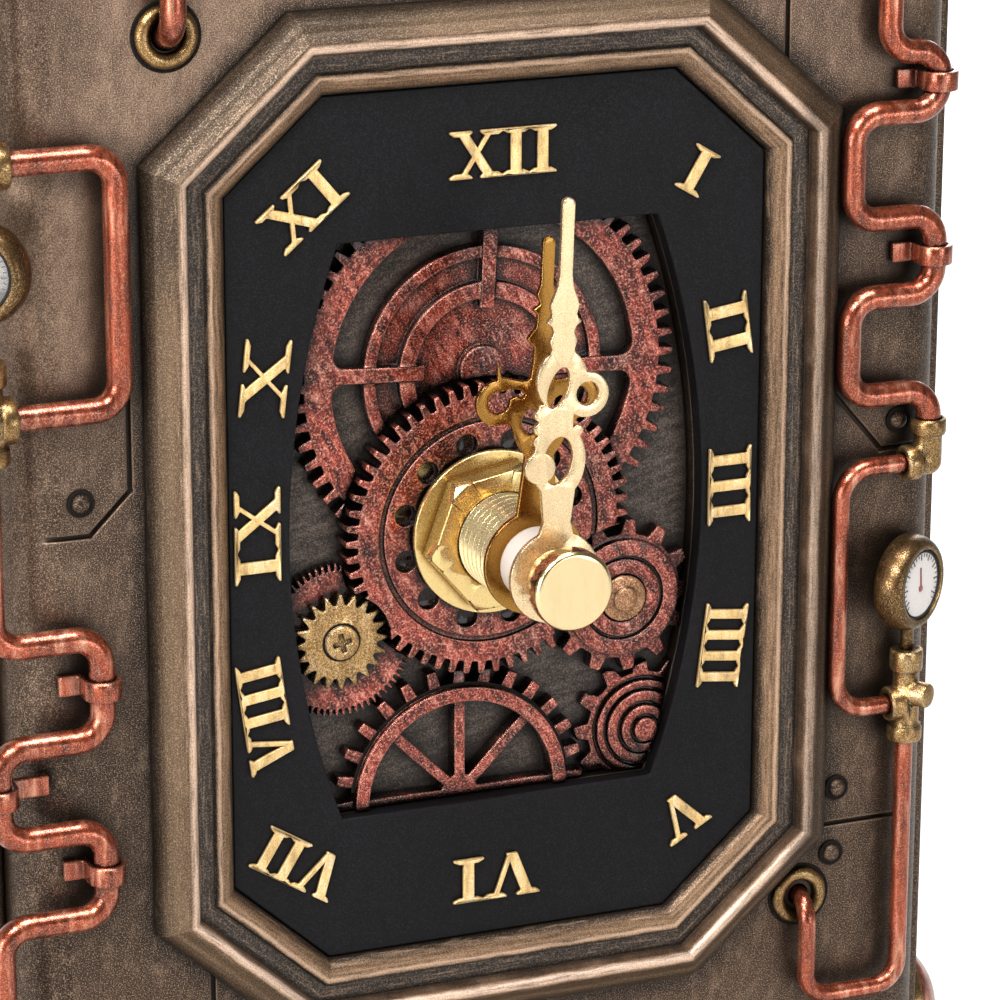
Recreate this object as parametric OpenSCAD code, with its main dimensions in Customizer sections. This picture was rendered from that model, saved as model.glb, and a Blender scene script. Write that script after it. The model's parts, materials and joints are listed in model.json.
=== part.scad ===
// Steampunk desk clock: a bronze case with copper pipework and a quartz movement.
// Millimetres. +Z is up, the dial faces -Y, the origin is the middle of the felt underside.

/* [Dial] */
// Width of the dial plate
dial_w = 54.1; // [51:0.1:57]
// Height of the dial plate
dial_h = 84; // [80:0.5:88]
// Width that a cut corner takes off the dial
dial_cut_w = 9.5; // [8:0.1:11]
// Height that a cut corner takes off the dial
dial_cut_h = 8.6; // [7:0.1:10]
// Thickness of the dial plate
dial_t = 1.8; // [1.4:0.1:2.2]
// How far the dial's face stands in front of the case
dial_proud = 0.2; // [0.1:0.05:0.4]
// Height of the window in the dial
window_h = 56.2; // [52:0.1:58]
// Width of the window at its top and bottom
window_end_w = 32; // [28:0.5:35]
// Width of the window at its middle
window_mid_w = 42; // [39:0.5:44]
// Depth from the dial's face to the relief plate
window_depth = 3.4; // [2.8:0.1:4]
// Thickness of the plate behind the relief wheels
relief_plate_t = 1.2; // [0.8:0.1:1.6]
// Height of a numeral
numeral_h = 4.5; // [4:0.1:4.8]
// How far a numeral stands in front of the dial
numeral_t = 0.5; // [0.3:0.1:0.8]
// Hand axis, to the right of the dial's middle
hand_x = -0.9; // [-2:0.1:2]
// Hand axis, above the dial's middle
hand_z = -1; // [-2:0.1:2]

/* [Bezel] */
// Width of the bezel band, from the dial's edge to its foot
bezel_band = 7.85; // [7:0.05:9]
// Width of the inner roll of the bezel
roll_w = 2.1; // [1.6:0.1:2.6]
// Height of the inner roll above the dial
roll_h = 1.6; // [1.2:0.1:2]
// Radius of the raised ridge
ridge_r = 0.8; // [0.6:0.05:0.9]
// Height of the ridge above the dial
ridge_h = 3.1; // [2.7:0.1:3.6]

/* [Case] */
// Case beside the bezel's foot, on each side
side_margin = 12.6; // [12.2:0.1:15]
// Case above the bezel's foot
top_margin = 12.4; // [11.6:0.2:16]
// Case below the bezel's foot
bottom_margin = 24; // [22:0.5:30]
// Depth of the case from front to back
case_d = 44; // [42:0.5:54]
// Radius of the case's upright corners
corner_r = 5; // [4:0.5:6]
// Thickness of the case's side, top and bottom walls
wall = 7; // [6.5:0.5:9]
// Thickness of the case's front wall
front_wall = 7; // [6.5:0.5:9]
// Width of a groove between the case's plates
seam_w = 0.5; // [0.4:0.1:0.8]
// Depth of a groove between the case's plates
seam_depth = 0.5; // [0.3:0.1:0.8]
// Radius of a rivet's head
rivet_r = 1.15; // [0.8:0.05:1.3]
// Height of a rivet's head
rivet_h = 0.7; // [0.4:0.05:0.75]
// Thickness of a side panel
panel_t = 2.2; // [1.5:0.1:3]
// Radius of the domed cap on a side panel
dome_r = 6.5; // [5:0.1:7]
// Height of the domed cap
dome_h = 4; // [3:0.1:4.5]
// Width of the ring round the domed cap
dome_ring_w = 0.8; // [0.5:0.1:1]
// Thickness of the ring round the domed cap
dome_ring_t = 1.5; // [1:0.1:2]
// Domed cap's centre above the plinth
dome_z = 10.4; // [9:0.1:13]
// Domed cap's centre behind the case's front
dome_y = 14; // [13:0.5:17]

/* [Base and top] */
// Thickness of the felt under the base
felt_t = 1.2; // [0.8:0.1:2]
// How far the felt is set in from the plinth's edge
felt_inset = 3; // [2:0.5:6]
// How far the plinth's lower step reaches past the case
plinth_reach = 10; // [8:0.5:14]
// Height of the plinth's lower step
plinth_low_h = 6; // [4:0.5:9]
// Height of the plinth's upper step
plinth_top_h = 4.6; // [3:0.2:7]
// How far the upper step is set in from the lower step
plinth_inset = 4; // [3.4:0.2:6]
// Radius of the copper bead between the steps
bead_r = 2.1; // [1.6:0.1:2.6]
// How far the cornice reaches past the case
cornice_reach = 5; // [4:0.5:8]
// Height of the cornice's nosing
cornice_h = 4; // [3:0.2:6]
// Height of the plain steps under and over the nosing
cornice_step_h = 2; // [1.2:0.1:3]

/* [Rear cover] */
// Thickness of the rear cover
cover_t = 3; // [2:0.5:4]
// Width of the ledge that the rear cover rests on
ledge_w = 4; // [3.6:0.2:4.4]
// Width and height of the opening in the rear cover
access_w = 60; // [58:0.5:66]
// Diameter of a cover screw's shank
screw_d = 2.4; // [2:0.1:2.8]
// Length of a cover screw's shank
screw_len = 9; // [6:0.5:12]

/* [Pipework] */
// Diameter of the copper pipes
pipe_d = 2.4; // [2.2:0.1:2.6]
// Diameter of the thin pipes in the right-hand loop and below it
thin_pipe_d = 1.8; // [1.6:0.1:2.1]
// Radius of a pipe's bend, along its middle
bend_r = 2.6; // [2.2:0.1:2.6]
// Diameter of the left-hand brass fittings
fitting_d = 4; // [3.7:0.1:4.4]
// Diameter of the right-hand brass fittings
right_fitting_d = 3.1; // [2.9:0.1:3.5]
// How much wider a fitting's collar is
collar_extra = 0.4; // [0.2:0.1:0.6]
// Length of a fitting's collar
collar_len = 1.6; // [1.2:0.1:1.8]
// Width of a pipe clamp, along the pipe
clamp_w = 1.9; // [1.4:0.1:2.2]
// Thickness of a pipe clamp's strap
clamp_t = 0.55; // [0.4:0.05:0.7]
// Length of a clamp's tab on the case
clamp_tab = 2.4; // [1.8:0.1:2.6]
// Outer diameter of a grommet
grommet_d = 6; // [5.4:0.1:6.4]

/* [Gauges] */
// Diameter of a gauge's body
gauge_d = 9.7; // [8.6:0.1:10]
// Depth of a gauge's body
gauge_depth = 3.2; // [2.9:0.1:3.4]
// Width of a gauge's rim
gauge_rim = 1.3; // [0.9:0.1:1.6]
// Angle that a gauge turns outwards
gauge_turn = 32; // [25:1:34]
// Diameter of a gauge's stem
gauge_stem_d = 1.3; // [1.1:0.1:1.8]
// Height of a gauge's middle above its tee
gauge_rise = 12.7; // [12:0.1:14]
// How far a gauge's body stands forward of its stem
gauge_offset = 0.85; // [0.8:0.05:1.1]

/* [Hands] */
// Length of the minute hand
minute_len = 35.4; // [33:0.1:37]
// Length of the hour hand
hour_len = 30.8; // [29:0.1:32]
// Thickness of a hand
hand_t = 0.6; // [0.4:0.05:0.8]
// Minute hand's angle at rest, clockwise from twelve
minute_angle = 1.9; // [0:0.1:6]
// Hour hand's angle at rest, clockwise from twelve
hour_angle = 2.4; // [0:0.1:6]
// Radius of the hour hand's boss
hour_boss_r = 5; // [4.5:0.1:5.4]
// Radius of the minute hand's boss
minute_boss_r = 4.4; // [4:0.1:4.8]
// Radius of the cap on the minute shaft
cap_r = 3.8; // [3.2:0.1:4.2]
// Thickness of the cap
cap_t = 1.9; // [1.5:0.1:2.4]

/* [Movement] */
// Width and height of the movement's housing
move_w = 56; // [55:0.5:57.5]
// Depth of the movement's housing
move_d = 16; // [15.8:0.1:17]
// Thickness of the housing's walls
move_wall = 1.4; // [1.2:0.1:1.5]
// Thickness of the rubber gasket
gasket_t = 1; // [0.6:0.1:1.6]
// Diameter of the threaded stem
stem_d = 9.2; // [8.8:0.1:9.6]
// Diameter of the brass washer
washer_d = 16; // [15:0.1:17]
// Thickness of the brass washer
washer_t = 0.6; // [0.4:0.1:0.8]
// Width of the stem nut across its flats
nut_af = 12.8; // [12:0.1:13.4]
// Thickness of the stem nut
nut_t = 2.6; // [2.2:0.1:3.4]
// Diameter of the hour wheel's tube
hour_tube_d = 5; // [4.8:0.1:5.2]
// Diameter of the minute shaft
minute_shaft_d = 3.6; // [3.2:0.1:3.8]
// Diameter of the battery
battery_d = 14.1; // [13.6:0.1:14.2]
// Room for the contact at each end of the battery
contact_room = 1.6; // [1.4:0.1:2]
// Radius of the setting knob
knob_r = 7; // [5:0.1:8]
// Thickness of the setting knob
knob_t = 4; // [3:0.1:6]
// Thickness of a train wheel
wheel_t = 0.9; // [0.7:0.05:0.95]
// Tooth module of the going train
train_m = 0.3; // [0.29:0.005:0.305]
// Radial running clearance of the shafts
run_gap = 0.06; // [0.04:0.01:0.09]
// Gap between fixed pieces that fit together
fit_gap = 0.05; // [0.03:0.01:0.08]

/* [Hidden] */
$fn = 48;
far = 400;
eps = 0.01;

// Colours of the finishes
bronze = "#5b4a38";
dark_bronze = "#3d342b";
bezel_bronze = "#7d6749";
copper = "#a8553a";
relief_copper = "#7c3b30";
brass = "#b08a45";
bright_brass = "#e2c264";
dial_black = "#1b1a1c";
gold = "#d8b254";
white = "#ece9e2";
black_plastic = "#202022";
steel = "#a9adb2";

// Case sizes that follow from the dial and the margins
bezel_w = dial_w + 2*bezel_band;
bezel_h = dial_h + 2*bezel_band;
case_w = bezel_w + 2*side_margin;
case_h = bezel_h + top_margin + bottom_margin;
plinth_h = plinth_low_h + 2*bead_r + plinth_top_h;
case_z = felt_t + plinth_h;
dial_z = case_z + bottom_margin + bezel_h/2;
dial_y = -case_d/2 - dial_proud;
face = dial_proud;
face_back = face + front_wall;
case_top = bezel_h/2 + top_margin;
case_bottom = -bezel_h/2 - bottom_margin;
ridge_at = bezel_band - 2.9;
relief_back = window_depth + relief_plate_t;

// Depths along the hand axis, from the dial's face, positive into the clock
washer_back = -0.1;
nut_back = washer_back - washer_t;
hour_hand_back = -10.2;
minute_hand_back = -14.9;
hand_gap = 0.4;
minute_boss_len = 2.7;
stem_front = hour_hand_back + 0.3;
cap_back = minute_hand_back - hand_t - minute_boss_len;
tube_front = minute_hand_back + hand_gap;
move_front = face_back + gasket_t;
move_in = move_front + move_wall;
move_back = move_front + move_d;
cover_in = move_back - move_wall;

// Layers of the train behind the housing's front wall
layer = wheel_t + 0.3;
hour_layer = move_in + 0.4;
minute_layer = hour_layer + layer;
centre_layer = minute_layer + layer;
third_layer = centre_layer + layer;
seconds_layer = third_layer + layer;
inter_layer = seconds_layer + layer;
magnet_layer = inter_layer + layer;
pivot_r = 0.35;
pivot_len = 0.7;
arbor_r = 0.6;
tail_r = 0.9;
setting_r = 1;

// Tooth counts of the motion work and the going train
cannon_n = 12;
minute_wheel_n = 36;
minute_pinion_n = 10;
hour_wheel_n = 40;
centre_n = 64;
third_pinion_n = 8;
third_n = 60;
seconds_pinion_n = 8;
seconds_n = 60;
inter_pinion_n = 10;
inter_n = 40;
rotor_pinion_n = 8;
motion_m = 0.5;
mesh_gap = 0.06;
motion_gap = 0.1;

// Distances between the arbors, and the directions in which they lie
motion_cd = motion_m*(cannon_n + minute_wheel_n)/2 + motion_gap;
hour_m = (motion_cd - motion_gap)*2/(minute_pinion_n + hour_wheel_n);
third_cd = train_m*(centre_n + third_pinion_n)/2 + mesh_gap;
seconds_cd = train_m*(third_n + seconds_pinion_n)/2 + mesh_gap;
inter_cd = train_m*(seconds_n + inter_pinion_n)/2 + mesh_gap;
rotor_cd = train_m*(inter_n + rotor_pinion_n)/2 + mesh_gap;
setting_dir = 10;
third_dir = 165;
seconds_dir = 80;
inter_dir = 20;
rotor_dir = 0;
function polar(r, a) = [r*cos(a), r*sin(a)];
setting_at = polar(motion_cd, setting_dir);
third_at = polar(third_cd, third_dir);
seconds_at = third_at + polar(seconds_cd, seconds_dir);
inter_at = seconds_at + polar(inter_cd, inter_dir);
rotor_at = inter_at + polar(rotor_cd, rotor_dir);

// Angle of a wheel that puts a gap of its teeth opposite a tooth of its driver
function mesh(n1, turn1, n2, dir) = dir + 180 + (180 - n1*(turn1 - dir))/n2;
setting_turn = mesh(cannon_n, 0, minute_wheel_n, setting_dir);
hour_turn = mesh(minute_pinion_n, setting_turn, hour_wheel_n, setting_dir + 180);
third_turn = mesh(centre_n, 0, third_pinion_n, third_dir);
seconds_turn = mesh(third_n, third_turn, seconds_pinion_n, seconds_dir);
inter_turn = mesh(seconds_n, seconds_turn, inter_pinion_n, inter_dir);
rotor_turn = mesh(inter_n, inter_turn, rotor_pinion_n, rotor_dir);

// Battery bay along the bottom of the movement
bay_h = battery_d + 1;
bay_top = -move_w/2 + move_wall + bay_h;
bay_wall = 1.2;
battery_z = -move_w/2 + move_wall + bay_h/2;
battery_y = move_in + battery_d/2 + 0.2;
nub_len = 1;
battery_len = move_w - 2*move_wall - nub_len - 2*contact_room;
nub_r = 2.7;
contact_t = 0.4;

// Places of the relief wheels and their tip radii
great_at = [-0.9, 14.2];
great_r = 19.5;
centre_at = [hand_x, hand_z];
centre_r = 14.4;
fine_at = [-15.4, -10.8];
fine_r = 7.6;
pinion_at = [-15.65, -10.65];
pinion_r = 4.7;
spoked_at = [-3.4, -27.75];
spoked_r = 12.9;
hub_at = [13.4, -9.9];
hub_r = 7.7;
stepped_at = [15.9, -23.7];
stepped_r = 7.1;
centre_top = 0.35;

// Pipe columns and rows, from the dial's middle
pipe_y = face - fitting_d/2 - collar_extra/2 - fit_gap;
half_w = case_w/2;
foot_w = bezel_w/2;
right_in = foot_w + 0.5;
right_out = half_w - 3.2;
right_rise = half_w - 8.6;
right_tee = half_w - 4.8;
right_loop_x = foot_w + 0.1;
left_in = half_w - 7.4;
left_out = half_w + 2.6;
left_loop_x = foot_w + 2.8;
left_tee = half_w + 2.8;
right_rows = [42.1, 36.3, 26.05, 18.35, 8.6];
left_rows = [-6, -15.8, -24.7, -33.3];
right_loop_top = 1.4;
right_loop_low = -23.4;
left_loop_top = 38.6;
left_loop_low = 15.4;
left_grommet = [-foot_w + 2.9, bezel_h/2 - 1.4];
right_grommet = [foot_w - 2.4, -bezel_h/2 + 6.6];
left_over = bezel_h/2 + 9.2;
right_under = -bezel_h/2 - 3.7;
leg = 2.7;
elbow_rise = 4.4;
tee_rise = 5.6;
tee_drop = 3.9;
socket = 1.1;
right_tee_leg = 2.1;
boss_lift = 1.1;
left_gauge_lift = 1.2;
right_gauge_shift = -0.8;

// Rivets on the front, and the corners that a side panel's own rivets sit in
front_rivets = [[-half_w + 6.5, 6.2], [half_w - 5.4, 5.2], [foot_w + 1.5, -32.4], [foot_w + 1.1, -39.3]];
panel_inset = 3;
panel_cut = 5;
panel_front = dome_y - dome_r - dome_ring_w - 0.6;
panel_back = case_d - corner_r - 1;
panel_low = case_bottom + 1;
panel_high = case_top - 4;
panel_near = panel_front + panel_inset;
panel_deep = panel_back - panel_inset;
dome_mid = case_bottom + dome_z;
panel_rivets = [[panel_near, panel_high - panel_cut - 1], [panel_deep, panel_high - panel_cut - 1],
  [panel_deep, panel_low + panel_cut + 1], [panel_near, dome_mid + dome_r + dome_ring_w + 3]];

// Frames: the dial's middle, and the hand axis
module front() { translate([0, dial_y, dial_z]) children(); }
module axis() { front() translate([hand_x, 0, hand_z]) children(); }

// A flat shape in the dial's plane, from depth back to depth front
module slab(back, front) { translate([0, back, 0]) rotate([90, 0, 0]) linear_extrude(back - front) children(); }
module bar(back, front, r) { slab(back, front) circle(r); }

// A rectangle with round corners
module round_rect(w, d, r) {
  square([w - 2*r, d], center = true);
  square([w, d - 2*r], center = true);
  for (x = [-1, 1], y = [-1, 1]) translate([x*(w/2 - r), y*(d/2 - r)]) circle(r);
}

// The dial's eight corners, moved outwards by grow
cut_len = norm([dial_cut_w, dial_cut_h]);
cut_line = dial_cut_h*dial_w/2 + dial_cut_w*(dial_h/2 - dial_cut_h);
function cut_z(grow) = (cut_line + grow*cut_len - dial_cut_h*(dial_w/2 + grow))/dial_cut_w;
function cut_x(grow) = (cut_line + grow*cut_len - dial_cut_w*(dial_h/2 + grow))/dial_cut_h;
function corners(grow) = let (a = dial_w/2 + grow, b = dial_h/2 + grow, x = cut_x(grow), z = cut_z(grow))
  [[a, -z], [a, z], [x, b], [-x, b], [-a, z], [-a, -z], [-x, -b], [x, -b]];

// The window: straight ends and bowed sides
bow = (window_mid_w - window_end_w)/2;
bow_r = (pow(window_h/2, 2) + pow(bow, 2))/(2*bow);
module window(grow) {
  intersection() {
    square([window_mid_w + 2*grow, window_h + 2*grow], center = true);
    translate([window_mid_w/2 - bow_r, 0]) circle(bow_r + grow, $fn = 200);
    translate([bow_r - window_mid_w/2, 0]) circle(bow_r + grow, $fn = 200);
  }
}

// A toothed wheel's outline: tip and root are the shares of the pitch that a tooth takes up there
function teeth(n, r_tip, r_root, tip, root) = [for (i = [0:n - 1], k = [[r_root, -root], [r_tip, -tip],
  [r_tip, tip], [r_root, root]]) polar(k[0], (i + k[1]/2)*360/n)];
module toothed(n, r_tip, r_root, tip = 0.35, root = 0.6) { polygon(teeth(n, r_tip, r_root, tip, root)); }

// A running wheel of module m
module gear(n, m, turn = 0) { rotate(turn) toothed(n, m*(n/2 + 0.85), m*(n/2 - 1.15), 0.2, 0.56); }
module ring(r_out, r_in) {
  difference() {
    circle(r_out);
    circle(r_in);
  }
}

// A straight rod between two points
module rod(a, b, d) {
  run = b - a;
  translate(a) rotate([0, acos(run[2]/norm(run)), atan2(run[1], run[0])]) cylinder(h = norm(run), d = d);
}

// One bend of a pipe at point p, from direction u to direction v
function turn_of(u, v) = acos(max(-1, min(1, u*v)));
function trim_of(u, v, r) = r*tan(turn_of(u, v)/2);
function unit(v) = v/norm(v);
module pipe_bend(p, u, v, r, d) {
  n = unit(v - u*(u*v));
  w = cross(u, n);
  c = p - u*trim_of(u, v, r) + n*r;
  multmatrix([[-n[0], u[0], w[0], c[0]], [-n[1], u[1], w[1], c[1]], [-n[2], u[2], w[2], c[2]], [0, 0, 0, 1]])
    rotate_extrude(angle = turn_of(u, v)) translate([r, 0]) circle(d = d, $fn = 24);
}

// A pipe through the points, with every inner point rounded to radius r
module pipe(pts, d, r = bend_r) {
  last = len(pts) - 1;
  way = [for (i = [0:last - 1]) unit(pts[i + 1] - pts[i])];
  cut = [for (i = [0:last]) i == 0 || i == last ? 0 : trim_of(way[i - 1], way[i], r)];
  for (i = [0:last - 1]) rod(pts[i] + way[i]*cut[i], pts[i + 1] - way[i]*cut[i + 1], d);
  for (i = [1:last - 1]) pipe_bend(pts[i], way[i - 1], way[i], r, d);
}

// Points of the pipe runs, in the dial's frame
function at(x, z) = [x, pipe_y, z];
left_upper_pts = [[left_grommet[0], face + 3, left_grommet[1]], at(left_grommet[0], left_grommet[1]),
  at(left_grommet[0], left_over), at(-left_tee, left_over), at(-left_tee, left_loop_top + elbow_rise - socket)];
left_loop_pts = [at(-left_tee + leg - socket, left_loop_top), at(-left_loop_x, left_loop_top),
  at(-left_loop_x, left_loop_low), at(-left_tee + leg - socket, left_loop_low)];
left_serpentine_pts = [at(-left_tee, left_loop_low - tee_drop + socket), at(-left_tee, left_rows[0]),
  at(-left_in, left_rows[0]), at(-left_in, left_rows[1]), at(-left_out, left_rows[1]),
  at(-left_out, left_rows[2]), at(-left_in, left_rows[2]), at(-left_in, left_rows[3]),
  at(-left_tee, left_rows[3]), at(-left_tee, case_bottom + fit_gap)];
right_serpentine_pts = [at(right_rise, case_top - fit_gap), at(right_rise, right_rows[0]),
  at(right_out, right_rows[0]), at(right_out, right_rows[1]), at(right_in, right_rows[1]),
  at(right_in, right_rows[2]), at(right_out, right_rows[2]), at(right_out, right_rows[3]),
  at(right_in, right_rows[3]), at(right_in, right_rows[4]), at(right_out, right_rows[4]),
  at(right_out, right_loop_top + elbow_rise - socket)];
right_loop_pts = [at(right_out - leg + socket, right_loop_top), at(right_loop_x, right_loop_top),
  at(right_loop_x, right_loop_low), at(right_tee - right_tee_leg + socket, right_loop_low)];
right_lower_pts = [at(right_tee, right_loop_low - tee_drop + socket), at(right_tee, right_under),
  at(right_grommet[0], right_under), at(right_grommet[0], right_grommet[1]),
  [right_grommet[0], face + 3, right_grommet[1]]];

module left_upper_run(extra = 0) { pipe(left_upper_pts, pipe_d + 2*extra); }
module left_loop_run(extra = 0) { pipe(left_loop_pts, pipe_d + 2*extra); }
module left_serpentine_run(extra = 0) { pipe(left_serpentine_pts, pipe_d + 2*extra); }
module right_serpentine_run(extra = 0) { pipe(right_serpentine_pts, pipe_d + 2*extra); }
module right_loop_run(extra = 0) { pipe(right_loop_pts, thin_pipe_d + 2*extra, bend_r + 0.6); }
module right_lower_run(extra = 0) { pipe(right_lower_pts, thin_pipe_d + 2*extra); }

// The case, its rear cover, its base and its top
module seams() {
  edge = half_w + eps;
  seam_cut = 3.9;
  // Left plate: along from the edge, up a short slope, then up beside the bezel
  left_z = 3;
  left_x = -foot_w - 1.4;
  rod_seam([-edge, left_z], [left_x - seam_cut, left_z]);
  rod_seam([left_x - seam_cut, left_z], [left_x, left_z + seam_cut]);
  rod_seam([left_x, left_z + seam_cut], [left_x, 34]);
  // Right plates: a slope into the brass elbow, and a line low down
  rod_seam([foot_w + 0.4, 8.2], [foot_w + 5.4, 2.4]);
  rod_seam([foot_w + 5.4, 2.4], [edge, 2.4]);
  rod_seam([foot_w - 4, -36.2], [edge, -36.2]);
  // Upright lines beside the bezel's corners
  rod_seam([foot_w - 5.7, 40], [foot_w - 5.7, case_top + eps]);
  rod_seam([-foot_w + 5.7, case_bottom - eps], [-foot_w + 5.7, -40]);
}
module rod_seam(a, b) {
  run = b - a;
  translate([a[0], face, a[1]]) rotate([0, -atan2(run[1], run[0]), 0])
    translate([-seam_w/2, -1, -seam_w/2]) cube([norm(run) + seam_w, 1 + seam_depth, seam_w]);
}

cavity_w = case_w - 2*wall;
cavity_h = case_h - 2*wall;
cavity_z = (case_top + case_bottom)/2;
lid_w = cavity_w + 2*ledge_w;
lid_h = cavity_h + 2*ledge_w;
case_back = case_d + dial_proud;
screw_x = cavity_w/2 + ledge_w/2;
screw_z = cavity_h/2 + ledge_w/2;
module cover_screw_places() {
  for (x = [-1, 1], z = [-1, 1]) translate([x*screw_x, 0, cavity_z + z*screw_z]) children();
}

module case_shell() {
  color(bronze) front() difference() {
    translate([0, face + case_d/2, case_bottom]) linear_extrude(case_h) round_rect(case_w, case_d, corner_r);
    slab(case_back + 1, face_back) translate([0, cavity_z]) square([cavity_w, cavity_h], center = true);
    slab(case_back + 1, case_back - cover_t) translate([0, cavity_z]) square([lid_w, lid_h], center = true);
    cover_screw_places() bar(case_back, case_back - cover_t - screw_len - 0.5, screw_d/2 + fit_gap);
    slab(dial_t + fit_gap, -1) polygon(corners(fit_gap));
    slab(relief_back + fit_gap, -1) window(fit_gap);
    translate([hand_x, 0, hand_z]) bar(face_back + 1, 0, stem_d/2 + 0.2);
    seams();
    left_upper_run(0.2);
    right_lower_run(0.2);
  }
}

module rear_cover() {
  color(dark_bronze) front() difference() {
    slab(case_back, case_back - cover_t + fit_gap) difference() {
      translate([0, cavity_z]) square([lid_w - 4*fit_gap, lid_h - 4*fit_gap], center = true);
      translate([hand_x, hand_z]) round_rect(access_w, access_w, 3);
    }
    cover_screw_places() bar(case_back + 1, case_back - cover_t - 1, screw_d/2 + fit_gap);
  }
}

module cover_screws() {
  color(steel) front() cover_screw_places() {
    translate([0, case_back + 1.3, 0]) rotate([90, 0, 0])
      cylinder(h = 1.3, r1 = screw_d*0.65, r2 = screw_d*0.85);
    bar(case_back, case_back - cover_t - screw_len, screw_d/2);
  }
}

plinth_w = case_w + 2*plinth_reach;
plinth_d = case_d + 2*plinth_reach;
bead_inset = plinth_inset/2;
module bead_ring(r) {
  w = plinth_w/2 - bead_inset - bead_r;
  d = plinth_d/2 - bead_inset - bead_r;
  z = felt_t + plinth_low_h + bead_r;
  bend = corner_r;
  for (s = [-1, 1]) {
    rod([-w + bend, s*d, z], [w - bend, s*d, z], 2*r);
    rod([s*w, -d + bend, z], [s*w, d - bend, z], 2*r);
  }
  for (i = [0:3]) rotate(i*90) {
    across = i % 2 == 0 ? [w - bend, d - bend] : [d - bend, w - bend];
    translate([across[0], across[1], z]) rotate_extrude(angle = 90) translate([bend, 0]) circle(r, $fn = 32);
  }
}
module base_plinth() {
  step_w = plinth_w - 2*plinth_inset;
  step_d = plinth_d - 2*plinth_inset;
  color(bronze) difference() {
    translate([0, 0, felt_t]) {
      linear_extrude(plinth_low_h) round_rect(plinth_w, plinth_d, corner_r);
      linear_extrude(plinth_h) round_rect(step_w, step_d, corner_r);
    }
    bead_ring(bead_r + fit_gap);
  }
}
module base_bead() { color(copper) bead_ring(bead_r); }
module base_felt() {
  color("#1d3324") linear_extrude(felt_t)
    round_rect(plinth_w - 2*felt_inset, plinth_d - 2*felt_inset, corner_r);
}
module top_cornice() {
  step = cornice_reach - cornice_h/2;
  nose_w = case_w + 2*cornice_reach - cornice_h;
  nose_d = case_d + 2*cornice_reach - cornice_h;
  color(bronze) translate([0, 0, case_z + case_h]) {
    linear_extrude(cornice_step_h) round_rect(case_w + 2*step, case_d + 2*step, corner_r);
    translate([0, 0, cornice_step_h]) {
      linear_extrude(cornice_h) round_rect(nose_w, nose_d, corner_r);
      nosing(nose_w/2, nose_d/2, cornice_h/2);
    }
    translate([0, 0, cornice_step_h + cornice_h])
      linear_extrude(cornice_step_h) round_rect(case_w, case_d, corner_r);
  }
}
module nosing(w, d, r) {
  bend = corner_r;
  for (s = [-1, 1]) {
    rod([-w + bend, s*d, r], [w - bend, s*d, r], 2*r);
    rod([s*w, -d + bend, r], [s*w, d - bend, r], 2*r);
  }
  for (i = [0:3]) rotate(i*90) {
    across = i % 2 == 0 ? [w - bend, d - bend] : [d - bend, w - bend];
    translate([across[0], across[1], r]) rotate_extrude(angle = 90) translate([bend, 0]) circle(r, $fn = 32);
  }
}

// Side panels with a domed cap on each
module panel_shape() {
  // Drawn with its first axis along the depth of the case
  polygon([[panel_front + panel_cut, panel_low], [panel_back - panel_cut, panel_low],
    [panel_back, panel_low + panel_cut], [panel_back, panel_high - panel_cut],
    [panel_back - panel_cut, panel_high], [panel_front + panel_cut, panel_high],
    [panel_front, panel_high - panel_cut], [panel_front, panel_low + panel_cut]]);
}
module side_slab(s, from, to) {
  front() translate([s*(half_w + from), face, 0]) rotate([90, 0, 90]) mirror([0, 0, s < 0 ? 1 : 0])
    linear_extrude(to - from) children();
}
module side_panels() {
  for (s = [-1, 1]) color(dark_bronze) side_slab(s, 0, panel_t) difference() {
    panel_shape();
    translate([dome_y, dome_mid]) circle(dome_r - 2);
  }
}
module dome_rings() {
  for (s = [-1, 1]) color(brass) side_slab(s, panel_t, panel_t + dome_ring_t)
    translate([dome_y, dome_mid]) ring(dome_r + dome_ring_w, dome_r + fit_gap);
}
module side_domes() {
  ball = (pow(dome_r, 2) + pow(dome_h, 2))/(2*dome_h);
  for (s = [-1, 1]) color(copper) front()
    translate([s*(half_w + panel_t), face + dome_y, dome_mid]) rotate([0, s*90, 0]) {
      cylinder(h = dome_ring_t, r = dome_r);
      translate([0, 0, dome_ring_t]) intersection() {
        translate([0, 0, dome_h - ball]) sphere(ball);
        cylinder(h = dome_h + 1, r = dome_r);
      }
    }
}

// The moulded bezel: its section follows the dial's eight sides with mitred corners
function arc(cx, cy, rx, ry, from, to, steps) = [for (i = [0:steps]) let (t = from + (to - from)*i/steps)
  [cx + rx*cos(t), cy + ry*sin(t)]];
groove_h = 1.1;
bezel_profile = concat([[fit_gap, -face]], arc(roll_w, 0, roll_w - fit_gap, roll_h, 180, 90, 6),
  [[roll_w + 0.25, groove_h], [ridge_at - ridge_r, groove_h]],
  arc(ridge_at, ridge_h - ridge_r, ridge_r, ridge_r, 180, 40, 7),
  arc(ridge_at + 0.4, -face, bezel_band - ridge_at - 0.4, ridge_h - ridge_r + 0.3, 70, 0, 6));
module bezel_frame() {
  n = len(bezel_profile);
  points = [for (p = bezel_profile, c = corners(p[0])) [c[0], -p[1], c[1]]];
  faces = [for (i = [0:n - 1], j = [0:7]) let (k = (i + 1) % n, m = (j + 1) % 8)
    [i*8 + j, i*8 + m, k*8 + m, k*8 + j]];
  color(bezel_bronze) front() polyhedron(points, faces, convexity = 6);
}

module dial_plate() {
  color(dial_black) front() slab(dial_t, 0) difference() {
    polygon(corners(-fit_gap));
    window(0);
  }
}

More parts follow.
